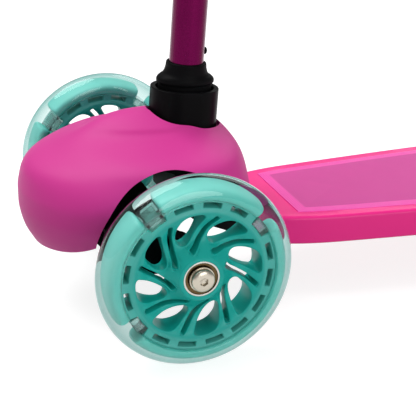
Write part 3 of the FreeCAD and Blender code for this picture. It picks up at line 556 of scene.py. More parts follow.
def deck_pink(name, colour, deep):
    """Glossier pink moulding with faint flow marks along its length."""
    m = Maker(name)
    place = m.place()
    flow = m.noise(m.stretched(place, 60.0, 9.0, 60.0), 1.0)
    grain = m.noise(place, 1400.0, 2.0)
    return m.surface(Base_Color=m.mix((flow * 0.6).clamped(), colour, deeper(colour, deep)),
                     Roughness=flow * 0.12 + 0.28, Normal=m.bump(grain, 0.00003, 0.3),
                     Specular_IOR_Level=0.3)


FIELD_FROM, FIELD_EASE = 7.2 * MM, 0.6 * MM   # where the pad's border of lines ends
LINE_PITCH = 1.6 * MM
DOT_PITCH = 1.05 * MM


def pad_finish(name, border, field, deep):
    """Border with raised lines that follow the deck's edge, and a field of tiny raised dots.

    UV x is the distance in from the pad's edge and UV y the distance along, both in metres.
    """
    m = Maker(name)
    dark = deeper(field, deep)
    uv = m.node("ShaderNodeUVMap", {"uv_map": "run"})[0]
    into, along, _ = m.split(uv)
    field_mask = into.above(FIELD_FROM, FIELD_EASE)
    lines = (into * (2 * math.pi / LINE_PITCH)).sin() * 0.5 + 0.5
    border_lines = lines * (1 - field_mask)
    x_wave = (into * (2 * math.pi / DOT_PITCH)).sin()
    y_wave = (along * (2 * math.pi / DOT_PITCH)).sin()
    dots = (x_wave * y_wave * 0.5 + 0.5) ** 2.0
    blotch = m.noise(m.place(), 90.0, 3.0)
    tone = m.mix(dots * 0.6 + blotch * 0.3, dark, field)
    return m.surface(Base_Color=m.mix(field_mask, m.mix(border_lines * 0.12, border, dark), tone),
                     Roughness=field_mask * 0.22 + 0.32,
                     Normal=m.bump(dots * field_mask + border_lines * 1.5, 0.00022, 0.6))


def wheel_teal(name, centre, radius, tones_and_painted_shading):
    """Teal moulding whose colour changes from the hub to the rim, with a slight skin grain; the change is
    partly the teal's own depth under the clear resin and partly painted: painted shade on the recessed web
    and the dark ring, painted light on the pale pads.
    """
    m = Maker(name)
    place = m.place()
    _, y, z = m.split(place)
    behind, above = y - centre.y, z - centre.z
    share = (behind * behind + above * above) ** 0.5 / radius
    cloud = m.noise(place, 35.0, 3.0)
    grain = m.noise(place, 1200.0, 2.0)
    # the ramp by radius paints shade on the recessed web and the dark ring and paints light on the pale pads,
    # over the teal's own tones
    shade = m.node("ShaderNodeValToRGB", {"stops": tones_and_painted_shading}, {"Fac": share + (cloud - 0.5) * 0.03})[0]
    return m.surface(Base_Color=shade, Roughness=cloud * 0.12 + 0.32, Normal=m.bump(grain, 0.00003, 0.3),
                     Specular_IOR_Level=0.3, Subsurface_Weight=0.15, Subsurface_Scale=0.5,
                     Subsurface_Radius=(0.001, 0.004, 0.003))


EDGE_BLEND = 0.64             # how wide the tinted edge of a clear moulding looks


def clear_resin(name, tint, edge_tint, bend, clear=1.0):
    """Clear cast elastomer: bends light a little, is tinted at its edges, and lets lamplight through."""
    m = Maker(name)
    haze = m.noise(m.place(), 45.0, 2.0)
    edge = m.node("ShaderNodeLayerWeight", None, {"Blend": EDGE_BLEND})[1]
    glass = m.node("ShaderNodeBsdfPrincipled", None,
                   {"Base Color": m.mix((edge * 0.9 + haze * 0.15).clamped(), tint, edge_tint),
                    "Transmission Weight": clear, "IOR": bend, "Roughness": 0.02, "Coat Weight": 0.8,
                    "Coat Roughness": 0.03, "Coat IOR": 1.5})[0]
    through = m.node("ShaderNodeBsdfTransparent", None, {"Color": tint})[0]
    return m.finish(m.mixed(m.ray("Is Shadow Ray"), glass, through))


STREAKS = 220.0               # turning marks per metre


def plated(name, colour, rough):
    """Plated steel with turning marks and small variations of shine."""
    m = Maker(name)
    place = m.place()
    marks = m.noise(m.stretched(place, STREAKS * 6, STREAKS, STREAKS), 1.0)
    spots = m.noise(place, 90.0, 4.0, 0.6)
    return m.surface(Base_Color=m.mix(spots * 0.5, colour, deeper(colour, 0.62)), Metallic=1.0,
                     Roughness=marks * 0.14 + rough, Normal=m.bump(marks, 0.00002, 0.3))


def painted_tube(name, colour, deep):
    """Metallic lacquer: fine flakes under a clear gloss coat."""
    m = Maker(name)
    place = m.place()
    flakes = m.node("ShaderNodeTexVoronoi", None, {"Vector": place, "Scale": 2600.0})[1]
    spark = m.split(flakes)[0]
    drift = m.noise(place, 22.0, 2.0)
    return m.surface(Base_Color=m.mix(drift * 0.6 + spark * 0.3, colour, deeper(colour, deep)), Metallic=1.0,
                     Roughness=spark * 0.1 + 0.2, Coat_Weight=0.02, Coat_Roughness=0.08,
                     Normal=m.bump(spark, 0.00001, 0.15))


def soft_rubber(name, grey):
    """Matt rubber with a fine grain and dusty high spots."""
    m = Maker(name)
    place = m.place()
    grain = m.noise(place, 900.0, 3.0)
    dust = m.noise(place, 70.0, 4.0, 0.7)
    return m.surface(Base_Color=m.mix(dust.above(0.6, 0.2) * 0.4, grey, tuple(c * 2.2 + 0.01 for c in grey)),
                     Roughness=dust * 0.15 + 0.58, Normal=m.bump(grain, 0.00008, 0.5))


# ---- settings ---------------------------------------------------------------
def colour_setting(label, text, *shade):
    """A colour, given as 0-255 display values."""
    return FloatVectorProperty(name=label, description=text, subtype="COLOR", size=3,
                               default=linear(*shade))


def length_setting(label, text, default):
    return FloatProperty(name=label, description=text, default=default, subtype="DISTANCE", unit="LENGTH")


def angle_setting(label, text, degrees):
    return FloatProperty(name=label, description=text, default=math.radians(degrees), subtype="ANGLE")


class ScooterColours(bpy.types.PropertyGroup):
    cover: colour_setting("Cover", "Pink of the nose cover", 216, 58, 151)
    deck: colour_setting("Deck", "Pink of the deck", 255, 40, 146)
    border: colour_setting("Pad border", "Pink of the pad's lined border", 255, 76, 186)
    field: colour_setting("Pad field", "Pink of the pad's dotted field", 228, 68, 166)
    teal: colour_setting("Wheel", "Teal of the wheel cores", 18, 186, 174)
    tube: colour_setting("Tube", "Lacquer of the stem and handlebar", 106, 12, 68)


class ScooterSizes(bpy.types.PropertyGroup):
    blades: IntProperty(name="Wheel blades", description="Teardrop openings round each front wheel",
                        default=8)
    cover_wall: length_setting("Cover wall", "Thickness of the nose cover", 2.6 * MM)


class ScooterCamera(bpy.types.PropertyGroup):
    azimuth: angle_setting("Azimuth", "Camera's bearing, from the nose towards the rider's left", 69.91)
    elevation: angle_setting("Elevation", "Camera's height angle", 22.61)
    roll: angle_setting("Roll", "Camera's turn about its own axis", 1.5)
    distance: length_setting("Distance", "From the camera to the point it looks at", 0.775)
    lens: FloatProperty(name="Lens", description="Focal length for a 36 mm sensor", default=98.74)
    ahead: length_setting("Look back", "How far behind the front axle the camera looks", 0.0457)
    height: length_setting("Look height", "Height of the point the camera looks at", 0.0517)


MATERIALS = {}


# share of the radius, strength of the teal and share of white: a deep web, a dark slot ring, pale pads;
# partly the teal's own depth under the clear resin, partly painted shade on the recessed web and the ring and
# painted light on the pads
WHEEL_TONES_AND_PAINTED_SHADING = ((0.2, 0.9, 0.0), (0.6, 0.95, 0.0), (0.65, 0.85, 0.01), (0.69, 0.97, 0.07),
                (0.83, 0.95, 0.12), (0.9, 0.95, 0.22))


def wheel_tones_and_painted_shading(teal):
    """The wheel's colours by the share of its radius, with painted shade on the web and the ring and painted
    light on the pads.
    """
    return [(share, tuple(v * strength * (1 - white) + white for v in teal))
            for share, strength, white in WHEEL_TONES_AND_PAINTED_SHADING]


def finishes():
    """Make every material once and return them by name."""
    if MATERIALS:
        return MATERIALS
    c = bpy.context.scene.scooter_colours
    # the wheels' tones by radius, with painted shade on the web and painted light on the pads
    tones_and_painted_shading = wheel_tones_and_painted_shading(c.teal)
    MATERIALS.update({
        "cover": moulded_pink("cover pink", c.cover, 0.88, 0.5),
        "deck": deck_pink("deck pink", c.deck, 0.85),
        "pad": pad_finish("grip pad", c.border, c.field, 0.8),
        "teal": wheel_teal("wheel teal", WHEEL_MID, WHEEL_R, tones_and_painted_shading),
        "rear_teal": wheel_teal("rear wheel teal", REAR_MID, REAR_R, tones_and_painted_shading),
        "resin": clear_resin("clear tyre", (0.7, 0.85, 0.83), (0.05, 0.32, 0.29), 1.1),
        "unit": clear_resin("light unit", (0.74, 0.88, 0.86), (0.4, 0.66, 0.63), 1.06, 0.75),
        "black": satin_black("satin black"),
        "steel": plated("plated steel", (0.66, 0.64, 0.6), 0.2),
        "race": plated("bearing steel", (0.62, 0.6, 0.56), 0.14),
        "bronze": plated("bearing shield", (0.12, 0.08, 0.035), 0.2),
        "nickel": plated("nickel bolt", (0.58, 0.53, 0.44), 0.22),
        "spring": plated("spring steel", (0.35, 0.35, 0.37), 0.3),
        "tube": painted_tube("painted tube", c.tube, 0.45),
        "boot": satin_black("boot black", 0.5, 0.004),
        "rubber": soft_rubber("grip rubber", (0.012, 0.012, 0.013)),
        "bush": soft_rubber("bush rubber", (0.03, 0.03, 0.03)),
    })
    return MATERIALS


# ---- front wheels -----------------------------------------------------------
def polar(radius, degrees):
    angle = np.radians(degrees)
    return np.stack([radius * np.cos(angle), radius * np.sin(angle)], -1)


# radius in mm and degrees: the edge of an opening, and the middle of a slit
OPENING = ((23.5, 31.5), (21.3, 28.0), (20.8, 22.0), (21.8, 16.0), (24.0, 10.0), (27.6, 4.0), (31.0, 0.0),
           (34.5, -3.0), (36.9, -4.2), (38.3, -2.0), (38.6, 3.0), (38.5, 9.0), (37.9, 14.5), (36.2, 19.5),
           (32.8, 24.5), (28.5, 29.0), (26.0, 31.2))
SLIT = ((16.7, 19.0), (18.2, 10.0), (20.0, 4.5), (22.3, 0.0), (25.5, -5.0), (29.0, -8.4), (33.0, -12.2),
        (37.2, -15.9))
SLIT_HALF = 1.45 * MM
SLIT_DRAFT = 0.1 * MM
OPENING_DRAFT = 0.6 * MM
# radius and half thickness of the dished web, mm
WEB_DISH = ((12.6, 12.0), (14.0, 11.4), (16.0, 9.6), (18.0, 7.7), (21.0, 5.3), (24.0, 4.2), (27.0, 4.0),
            (30.0, 4.7), (33.0, 6.3), (36.0, 8.1), (38.6, 9.0), (41.0, 9.0), (41.6, 8.4), (45.4, 8.3),
            (47.2, 8.5))
SLOT_MID = 44.2 * MM
SLOT_HALF = 1.6 * MM
CELLS = 16
CELL_PHASE = 13.5
CELL_SPAN = 14.5
GAP_CELLS = (1, 5, 9)
CELL_HALF = 180.0 / CELLS
RIM_R = 47.2 * MM             # edge of the web plate
BAY_R = 42.4 * MM             # its edge in a gap of the rim
WEB_EASE = 0.7 * MM
WEB_HOLE_R = 12.8 * MM
# the padded segments: inner radius, half thickness, rounding of the ends and share left there
SEGMENT_IN = 45.9 * MM
SEGMENT_HALF = 9.8 * MM
SEGMENT_END = 2.4 * MM
SEGMENT_TIP = 0.7
SEGMENT_POWER = 2.6
TYRE_IN_R = 47.4 * MM
# radius and height of the clear filling of a gap, mm
FILL_SECTION = ((42.6, -8.4), (48.2, -8.4), (48.2, 8.4), (42.6, 8.4))
FILL_GAP = 0.4                # degrees between the filling and the segments beside it
# hub: radii of the bore, the bearing seat and the outside, depth of the seat, and half length, mm
HUB_BORE, HUB_SEAT, HUB_R, SEAT_DEPTH, HUB_END = 8.3, 11.0, 13.3, 7.2, 12.0
# radius and height over the hub's end of the bearing's outer ring and of its shield, mm
RING_OUTLINE = ((9.9, -0.9), (9.9, 0.0), (11.0, 0.0), (11.0, -7.0), (9.9, -7.0))
SHIELD_OUTLINE = ((7.0, -1.5), (7.5, -1.2), (8.6, -1.05), (9.3, -1.2), (9.9, -1.0), (9.9, -6.2),
                  (7.0, -6.2))
BEARING_SUNK = 0.15
# the front axle's domed bolt, mm; the rows of its socket are (share of the width, depth)
BOLT_R = 7.0
BOLT_HEAD = 3.8
SOCKET_FLATS = 2.25
SOCKET_ROWS = ((0.02, 2.9), (0.6, 2.6), (1.0, 2.4), (1.0, 0.25), (1.06, 0.06))
SOCKET_EDGE = 3.0
# the dome falls as 1 - sqrt(1 - fullness * share^2), where the share runs from the socket to the edge
DOME_RISE, DOME_FULLNESS, DOME_FALL = 1.7, 0.985, 0.878
DOME_SHARES = (0.0, 0.2, 0.4, 0.6, 0.75, 0.87, 0.95, 1.0)
# radius and height: from the underside of the head, and from the shank's inner end
UNDER_HEAD = ((BOLT_R, 0.0), (7.6, -0.05), (7.6, -0.8), (4.0, -0.8))
SHANK_END = ((4.0, 0.6), (3.4, 0.0), (0.05, 0.0))


def cell_angle(cell):
    return CELL_PHASE + cell * 360.0 / CELLS


def opening_loop(turn):
    """Teardrop between two blades: a closed curve through polar points."""
    shape = np.array(OPENING)
    return smooth_loop(polar(shape[:, 0] * MM, shape[:, 1] + turn), 7)


def slit_loop(turn):
    """Thin slit: its smooth middle line moved half a width to each side, with round ends."""
    shape = np.array(SLIT)
    line = smooth_run(polar(shape[:, 0] * MM, shape[:, 1] + turn), 3)
    along = np.gradient(line, axis=0)
    along /= np.linalg.norm(along, axis=1)[:, None]
    across = np.stack([-along[:, 1], along[:, 0]], -1) * SLIT_HALF
    bend = np.radians((-60, -30, 0, 30, 60))[:, None]
    start = line[0] - along[0] * SLIT_HALF * np.cos(bend) - across[0] * np.sin(bend)
    end = line[-1] + along[-1] * SLIT_HALF * np.cos(bend) - across[-1] * np.sin(bend)
    return np.vstack([start[::-1], line - across, end, (line + across)[::-1]])


def slot_loop(angle):
    """Short slot that follows the rim, with rounded ends."""
    run = np.linspace(-CELL_SPAN / 2, CELL_SPAN / 2, 10)
    outer = polar(np.full(10, SLOT_MID + SLOT_HALF), angle + run)
    inner = polar(np.full(10, SLOT_MID - SLOT_HALF), angle + run)[::-1]
    return rounded([*outer, *inner], 1.0 * MM, 2)


def rim_outline():
    """Edge of the web plate: a circle with a bay at each gap in the rim."""
    loop = []
    for cell in range(CELLS):
        centre = cell_angle(cell)
        run = np.linspace(centre - CELL_HALF, centre + CELL_HALF, 16, endpoint=False)
        bay = (cell in GAP_CELLS) & (np.abs(run - centre) < CELL_SPAN / 2)
        loop.append(polar(np.where(bay, BAY_R, RIM_R), run))
    return np.vstack(loop)


def web_height(radius):
    """Half thickness of the dished web at each radius, read from its table."""
    table = smooth_run(WEB_DISH, 4) * MM
    return np.interp(radius, table[:, 0], table[:, 1])


def padded_segment(start, stop):
    """Pillow along the rim: a superellipse section carried round, shrunk to round ends."""
    arc = np.radians(np.linspace(start, stop, max(24, int((stop - start) * 1.2))))
    around = np.linspace(0, 2 * np.pi, 36, endpoint=False)
    mid = (SEGMENT_IN + CORE_R) / 2
    reach_r = (CORE_R - SEGMENT_IN) / 2
    depth = np.minimum(arc - arc[0], arc[-1] - arc) * mid
    near = np.clip(1 - depth / SEGMENT_END, 0, 1)
    shrink = np.sqrt(np.clip(1 - near ** 2, 0.0, 1)) * (1 - SEGMENT_TIP) + SEGMENT_TIP
    r = mid + reach_r * shrink[:, None] * superellipse(np.cos(around), 2 / SEGMENT_POWER)[None]
    z = SEGMENT_HALF * shrink[:, None] * superellipse(np.sin(around), 2 / SEGMENT_POWER)[None]
    points = np.stack([r * np.cos(arc)[:, None], r * np.sin(arc)[:, None], z], -1)
    return points.reshape(-1, 3), capped(len(arc), len(around))


def hub_profile():
    """Hub with a seat for a bearing at each end."""
    seat = HUB_HALF / MM - SEAT_DEPTH
    half = [(HUB_BORE, seat), (HUB_SEAT, seat), (HUB_SEAT, HUB_END), (HUB_R, HUB_END)]
    full = [(HUB_BORE, 0.0)] + half + [(r, -h) for r, h in half[::-1]]
    return rounded(np.array(full) * MM, 0.45 * MM, 3)


def wheel_core(blades):
    """Bladed dished web, hub and padded rim of a front wheel, drawn flat."""
    circle = polar(np.full(96, WEB_HOLE_R), np.linspace(0, 360, 96, endpoint=False))
    outlines = [(rim_outline(), 0.0), (circle, 0.0)]
    for blade in range(blades):
        turn = blade * 360.0 / blades
        outlines += [(opening_loop(turn), OPENING_DRAFT), (slit_loop(turn), SLIT_DRAFT)]
    outlines += [(slot_loop(cell_angle(c)), SLIT_DRAFT) for c in range(CELLS) if c not in GAP_CELLS]
    parts = [plate(outlines, web_height, WEB_EASE), lathe(hub_profile())]
    gaps = [cell_angle(c) for c in GAP_CELLS]
    for first, second in zip(gaps, gaps[1:] + [gaps[0] + 360.0]):
        parts.append(padded_segment(first + CELL_SPAN / 2, second - CELL_SPAN / 2))
    return joined(parts)


def tyre_profile():
    """Tyre section: half-round tread, eased cheeks, and an inner wall inside the core."""
    half, shoulder = WHEEL_HALF, WHEEL_R - WHEEL_HALF
    turn = np.radians(np.linspace(-90, 90, 33))
    tread = np.stack([shoulder + half * np.cos(turn), half * np.sin(turn)], -1)
    corners = [(shoulder, half), (TYRE_IN_R, half), (TYRE_IN_R, -half), (shoulder, -half)]
    steps = 3
    cheeks = rounded(corners, 0.6 * MM, steps)[steps + 1:-steps - 1]
    return np.vstack([tread, cheeks])


def wheel_mesh(name, made, side):
    """A closed mesh of one front wheel from a (points, faces) pair drawn flat."""
    flip = side == "right"
    centre = (-WHEEL_MID.x if flip else WHEEL_MID.x, WHEEL_MID.y, WHEEL_MID.z)
    return closed_mesh(name, (stand_on_axle(made[0], centre, flip), made[1]))


def build_front_wheel(side):
    """Core, clear tyre with its fillings, lights, bearing and bolt of one front wheel."""
    body = "wheel_" + side
    core = wheel_core(bpy.context.scene.scooter_sizes.blades)
    skin("wheel_core_" + side, wheel_mesh("core_" + side, core, side), "teal", body)
    fills = [sector_block(cell_angle(c)) for c in GAP_CELLS]
    tyre = joined([lathe(tyre_profile(), 160)] + fills)
    skin("wheel_tyre_" + side, wheel_mesh("tyre_" + side, tyre, side), "resin", body, 40)
    refined("unit", "light_unit", 0.6, "wheel_lights_" + side)
    build_bearing(side)
    refined("race", "steel", 0.2, "bearing_inner_" + side, "axle_spacer_" + side)
    refined("black", "black_plastic", 0.8, "knuckle_" + side)


def build_bearing(side):
    """Outer ring, dished bronze shield and domed socket bolt of one hub."""
    end = HUB_HALF / MM - BEARING_SUNK
    for name, outline, finish in (("ring", RING_OUTLINE, "race"), ("shield", SHIELD_OUTLINE, "bronze")):
        rings = []
        for turned in (1.0, -1.0):
            drawn = np.array([(r, (h + end) * turned) for r, h in outline]) * MM
            rings.append(lathe(rounded(drawn, 0.25 * MM, 2)))
        mesh = sharpen(wheel_mesh(name, joined(rings), side), 30)
        new_object("bearing_" + name + "_" + side, mesh, finish, "wheel_" + side,
                   "bearing_outer_" + side)
    inner, tip = sorted(abs(corner.x) - WHEEL_MID.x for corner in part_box("axle_bolt_" + side))
    skin("axle_bolt_" + side, wheel_mesh("bolt", bolt(inner / MM, tip / MM), side), "nickel",
         "carrier_" + side, 30)


def bolt(inner, tip):
    """Domed bolt: rings from the socket's floor out over the dome and down the shank.

    In the socket a ring is a hexagon, radius = half width across flats / cos(angle to the flat),
    and outside it the rings are circles.
    """
    turns = 72
    angle = np.linspace(0, 2 * np.pi, turns, endpoint=False)
    flat = np.mod(angle + np.pi / 6, np.pi / 3) - np.pi / 6
    hexagon = SOCKET_FLATS / np.cos(flat)
    head = tip - BOLT_HEAD
    rows = [(hexagon * share, tip - depth) for share, depth in SOCKET_ROWS]
    for share in DOME_SHARES:
        drop = DOME_RISE * (1 - math.sqrt(1 - share ** 2 * DOME_FULLNESS)) / DOME_FALL
        rows.append((np.full(turns, SOCKET_EDGE + (BOLT_R - SOCKET_EDGE) * share), tip - drop))
    rows += [(np.full(turns, r), head + h) for r, h in UNDER_HEAD]
    rows += [(np.full(turns, r), inner + h) for r, h in SHANK_END]
    points = [np.column_stack([r * np.cos(angle), r * np.sin(angle), np.full(turns, h)]) for r, h in rows]
    return np.vstack(points) * MM, capped(len(rows), turns)


def sector_block(angle):
    """Clear filling of a gap in the rim, from the web's bay out to the tyre."""
    half = CELL_SPAN / 2 - FILL_GAP
    run = np.linspace(angle - half, angle + half, 8)
    lines = [np.column_stack([polar(np.full(8, r), run), np.full(8, h)]) for r, h in FILL_SECTION]
    points = np.array(lines).transpose(1, 0, 2).reshape(-1, 3) * MM
    return points, capped(len(run), len(FILL_SECTION))


# ---- nose cover -------------------------------------------------------------
# height above ground, half width, and how far behind the front axle its front and back lie, mm; seven rows
# are values that a separate fitting script printed, against the rule on tables (see report.md)
COVER_LEVELS = ((126.35, 0.0, 5.0, 5.0), (126.3, 4.5, -7.0, 17.0), (125.4, 8.0, -16.0, 25.0),
                (123.1, 13.5, -25.2, 34.1), (119.4, 20.7, -33.6, 42.8), (114.1, 28.0, -43.5, 51.0),
                (106.2, 57.7, -58.2, 58.0), (96.8, 67.7, -76.5, 62.7), (82.7, 77.1, -81.7, 65.3),
                (69.6, 75.0, -82.3, 67.7), (55.5, 65.3, -79.2, 70.3), (43.5, 56.0, -72.7, 72.6))
COVER_MID = 5.0               # y of the cover's widest place
COVER_NOSE = -82.2            # the dome goes no further forward
FRONT_POWER = 1.9
BACK_POWER = 2.27
ARCH_R = 45.5 * MM
ARCH_FROM, ARCH_TO = 50.0 * MM, 140.0 * MM
# the lower edge of the nose, mm: height in the middle, rise at a half width, that half width, the power
# of the rise, and half the cutter's width
SMILE = (44.6, 17.0, 57.0, 3.5, 71.0)
BACK_EDGE = 58.1 * MM         # height of the cover's edge over the deck
CUT = 120.0 * MM              # reach of a cutter
HOLE = (49.8 * MM, 38.8 * MM, -6.0 * MM, 60.0 * MM)   # for the socket: length, width, from, to


def cover_dome(inset):
    """Dome: each level is a superellipse, slimmer in front; levels follow a smooth run through the table."""
    levels = smooth_run(COVER_LEVELS, 7)
    z = levels[:, 0] - inset
    half = np.maximum(levels[:, 1] - inset, 0.0)
    front = np.clip(levels[:, 2] + inset, COVER_NOSE, COVER_MID)
    back = np.maximum(levels[:, 3] - inset, COVER_MID)
    turns = 160
    angle = np.linspace(0, 2 * np.pi, turns, endpoint=False)
    c, s = np.cos(angle), np.sin(angle)
    power = np.where(s < 0, 2 / FRONT_POWER, 2 / BACK_POWER)
    x = half[:, None] * superellipse(c, power)[None]
    reach = np.where(s[None] < 0, (COVER_MID - front)[:, None], (back - COVER_MID)[:, None])
    y = COVER_MID + reach * superellipse(s, power)[None]
    points = np.stack([x, y, np.repeat(z[:, None], turns, 1)], -1)[1:] * MM
    rows = len(points)
    points = points.reshape(-1, 3)
    points[:, 1] += WHEEL_MID.y
    return points, capped(rows, turns)


def axle_cylinder(radius, low, high):
    """A cylinder round the front axle, between two places along X."""
    points, faces = lathe([(radius, low), (radius, high)], 120, closed=False)
    return stand_on_axle(points, (0.0, WHEEL_MID.y, WHEEL_MID.z)), faces


def prism_y(outline, low, high):
    """A closed (x, z) outline carried along Y."""
    x, z = np.asarray(outline, float).T
    points = np.vstack([np.column_stack([x, np.full(len(x), y), z]) for y in (low, high)])
    return points, capped(2, len(x))


def oval_block(length, width, low, high):
    """A column on the stem's axis with round ends, long from front to back."""
    radius, reach = width / 2, (length - width) / 2
    half = np.linspace(0, np.pi, 24)
    end = np.stack([radius * np.cos(half), reach + radius * np.sin(half)], -1)
    loop = np.vstack([end, -end])
    points = np.vstack([np.column_stack([loop, np.full(len(loop), h)]) for h in (low, high)])
    return lean_with_stem(points), capped(2, len(loop))


class SCOOTER_OT_cover(bpy.types.Operator):
    """Nose cover: a hollow dome cut by the wheel arches, the smile under the nose and the socket's hole"""
    bl_idname = "scooter.cover"
    bl_label = "Nose cover"

    def execute(self, context):
        wall = context.scene.scooter_sizes.cover_wall / MM
        outer = closed_mesh("cover", cover_dome(0.0))
        middle_z, rise, rise_half, power, half = SMILE
        run = np.linspace(-half, half, 57)
        edge = middle_z + rise * np.abs(run / rise_half) ** power
        smile = np.vstack([np.column_stack([run, edge]), [[half, 0], [-half, 0]]]) * MM
        slab = [(-CUT, 0), (CUT, 0), (CUT, BACK_EDGE), (-CUT, BACK_EDGE)]
        cutters = [closed_mesh("inner", cover_dome(wall)),
                   closed_mesh("nose", prism_y(smile, WHEEL_MID.y - CUT, WHEEL_MID.y)),
                   closed_mesh("back", prism_y(slab, WHEEL_MID.y - MM, WHEEL_MID.y + CUT)),
                   closed_mesh("hole", oval_block(*HOLE))]
        for side in (-1, 1):
            low, high = sorted((side * ARCH_FROM, side * ARCH_TO))
            cutters.append(closed_mesh("arch", axle_cylinder(ARCH_R, low, high)))
        mesh = carved(outer, cutters, "cover_body")
        piece = new_object("nose_cover", sharpen(mesh, 35), "cover", "frame",
                           "front_cover")
        eased(piece, 0.7 * MM, 3, 45)
        return {"FINISHED"}


class SCOOTER_OT_wheels(bpy.types.Operator):
    """Front wheels with their bearings, bolts and knuckles"""
    bl_idname = "scooter.wheels"
    bl_label = "Front wheels"

    def execute(self, context):
        for side in ("left", "right"):
            build_front_wheel(side)
        return {"FINISHED"}


# ---- deck -------------------------------------------------------------------
PAD_ROWS, PAD_COLS = 150, 61
PAD_EASE = 0.3 * MM           # how much the pad's long edges fall away
PAD_EASE_SHARE = 40           # over one part in so many of the half width


def pad_edge():
    """Places along the pad and its half width at each, read from the edge of its CAD mesh."""
    source = frame["nodes"]["grip_pad"].data
    co = np.zeros(len(source.vertices) * 3)
    source.vertices.foreach_get("co", co)
    co = co.reshape(-1, 3)
    edge = co[np.argsort(co[:, 1])]
    edge = edge[edge[:, 0] > 0.5 * PAD_HIGH.x]
    y = np.linspace(PAD_LOW.y, PAD_HIGH.y, PAD_ROWS)
    return y, np.interp(y, edge[:, 1], edge[:, 0])


def pad_mesh():
    """Pad: rows across the deck between its edges, each point's x a share of the half width there.

    Its UV holds the distance in from the edge and the distance along the deck.
    """
    y, half = pad_edge()
    share = np.linspace(-1, 1, PAD_COLS)
    x = half[:, None] * share[None]
    fall = 1 - np.sqrt(np.minimum((1 - np.abs(share)) * PAD_EASE_SHARE, 1.0))
    top = PAD_HIGH.z - PAD_EASE * fall[None] + 0 * x
    rows, cols = x.shape
    upper = np.stack([x, np.repeat(y[:, None], cols, 1), top], -1).reshape(-1, 3)
    lower = upper.copy()
    lower[:, 2] = PAD_LOW.z
    ring = np.concatenate([np.arange(cols), np.arange(1, rows) * cols + cols - 1,
                           (rows - 1) * cols + np.arange(cols - 2, -1, -1),
                           np.arange(rows - 2, 0, -1) * cols])
    after = np.roll(ring, -1)
    wall = np.stack([ring, after, after + rows * cols, ring + rows * cols], -1)
    faces = np.vstack([grid_faces(rows, cols)[:, ::-1], grid_faces(rows, cols, start=rows * cols), wall])
    mesh = mesh_of("pad", np.vstack([upper, lower]), faces)
    sides = half[:, None] * (1 - np.abs(share))[None]
    ends = np.minimum(y - y[0], y[-1] - y)[:, None]
    into = np.minimum(sides, ends).ravel()
    uv = np.tile(np.stack([into, np.repeat(y, cols)], -1), (2, 1))
    layer = mesh.uv_layers.new(name="run")
    loops = np.zeros(len(mesh.loops), int)
    mesh.loops.foreach_get("vertex_index", loops)
    layer.data.foreach_set("uv", uv[loops].ravel())
    return welded(mesh, 1e-6, outwards=True)


class SCOOTER_OT_deck(bpy.types.Operator):
    """Deck, its lined and dotted pad, and the casting under the nose"""
    bl_idname = "scooter.deck"
    bl_label = "Deck"

    def execute(self, context):
        refined("deck", "deck_plastic", 0.3, "deck")
        new_object("deck_pad", sharpen(pad_mesh(), 40), "pad", "frame", "grip_pad")
        refined("black", "black_plastic", 0.6, "steering_yoke")
        refined("black", "black_plastic", 0.4, "tie_rod")
        refined("steel", "steel", 0.3, "kingpins", "kingpin_nuts", "cover_screws", "deck_screws")
        refined("bush", "bush_rubber", 0.3, "centring_bushes")
        return {"FINISHED"}


# ---- stem -------------------------------------------------------------------
# height up the stem, half length and half width of the boot, mm: up its outside and down its inside
BOOT = ((30.0, 17.6, 12.3), (39.0, 17.6, 12.4), (41.4, 17.7, 12.6), (41.9, 18.1, 13.0), (42.4, 18.7, 13.5),
        (43.1, 19.1, 13.9), (44.2, 19.1, 14.0), (45.3, 18.7, 13.9), (46.5, 17.5, 13.6), (47.5, 15.9, 13.2),
        (48.6, 14.7, 12.9), (50.2, 13.9, 12.8), (52.4, 13.3, 12.7), (54.2, 13.1, 12.7), (55.1, 12.9, 12.6),
        (55.5, 12.4, 12.3), (55.3, 11.7, 11.7), (54.0, 11.25, 11.25), (36.0, 11.25, 11.25),
        (30.0, 11.25, 11.25))


def boot_bell():
    """Bell round the tube: each level is an ellipse, and the levels follow a smooth run through the table."""
    levels = smooth_run(BOOT, 4) * MM
    turns = 96
    angle = np.linspace(0, 2 * np.pi, turns, endpoint=False)
    x = levels[:, 2][:, None] * np.cos(angle)[None]
    y = levels[:, 1][:, None] * np.sin(angle)[None]
    points = np.stack([x, y, np.repeat(levels[:, 0][:, None], turns, 1)], -1).reshape(-1, 3)
    return lean_with_stem(points), grid_faces(len(levels), turns, True, True)


class SCOOTER_OT_stem(bpy.types.Operator):
    """Oval socket, bell boot, tubes, snap button and height clamp"""
    bl_idname = "scooter.stem"
    bl_label = "Stem"

    def execute(self, context):
        refined("black", "black_plastic", 0.6, "stem_socket")
        new_object("stem_boot_bell", sharpen(closed_mesh("boot", boot_bell()), 50), "boot", "frame",
                   "stem_boot")
        refined("tube", "painted_tube", 0.3, "stem_tube", "t_bar_tube", "handlebar")
        refined("steel", "steel", 0.2, "stem_spigot", "clamp_bolt", "clamp_pin")
        refined("black", "black_plastic", 0.2, "snap_button")
        refined("spring", "spring_steel", 0.0, "snap_spring")
        refined("black", "black_plastic", 0.6, "clamp_collar", "clamp_lever", "bar_tee")
        refined("rubber", "grip_rubber", 0.4, "grip_left", "grip_right")
        return {"FINISHED"}


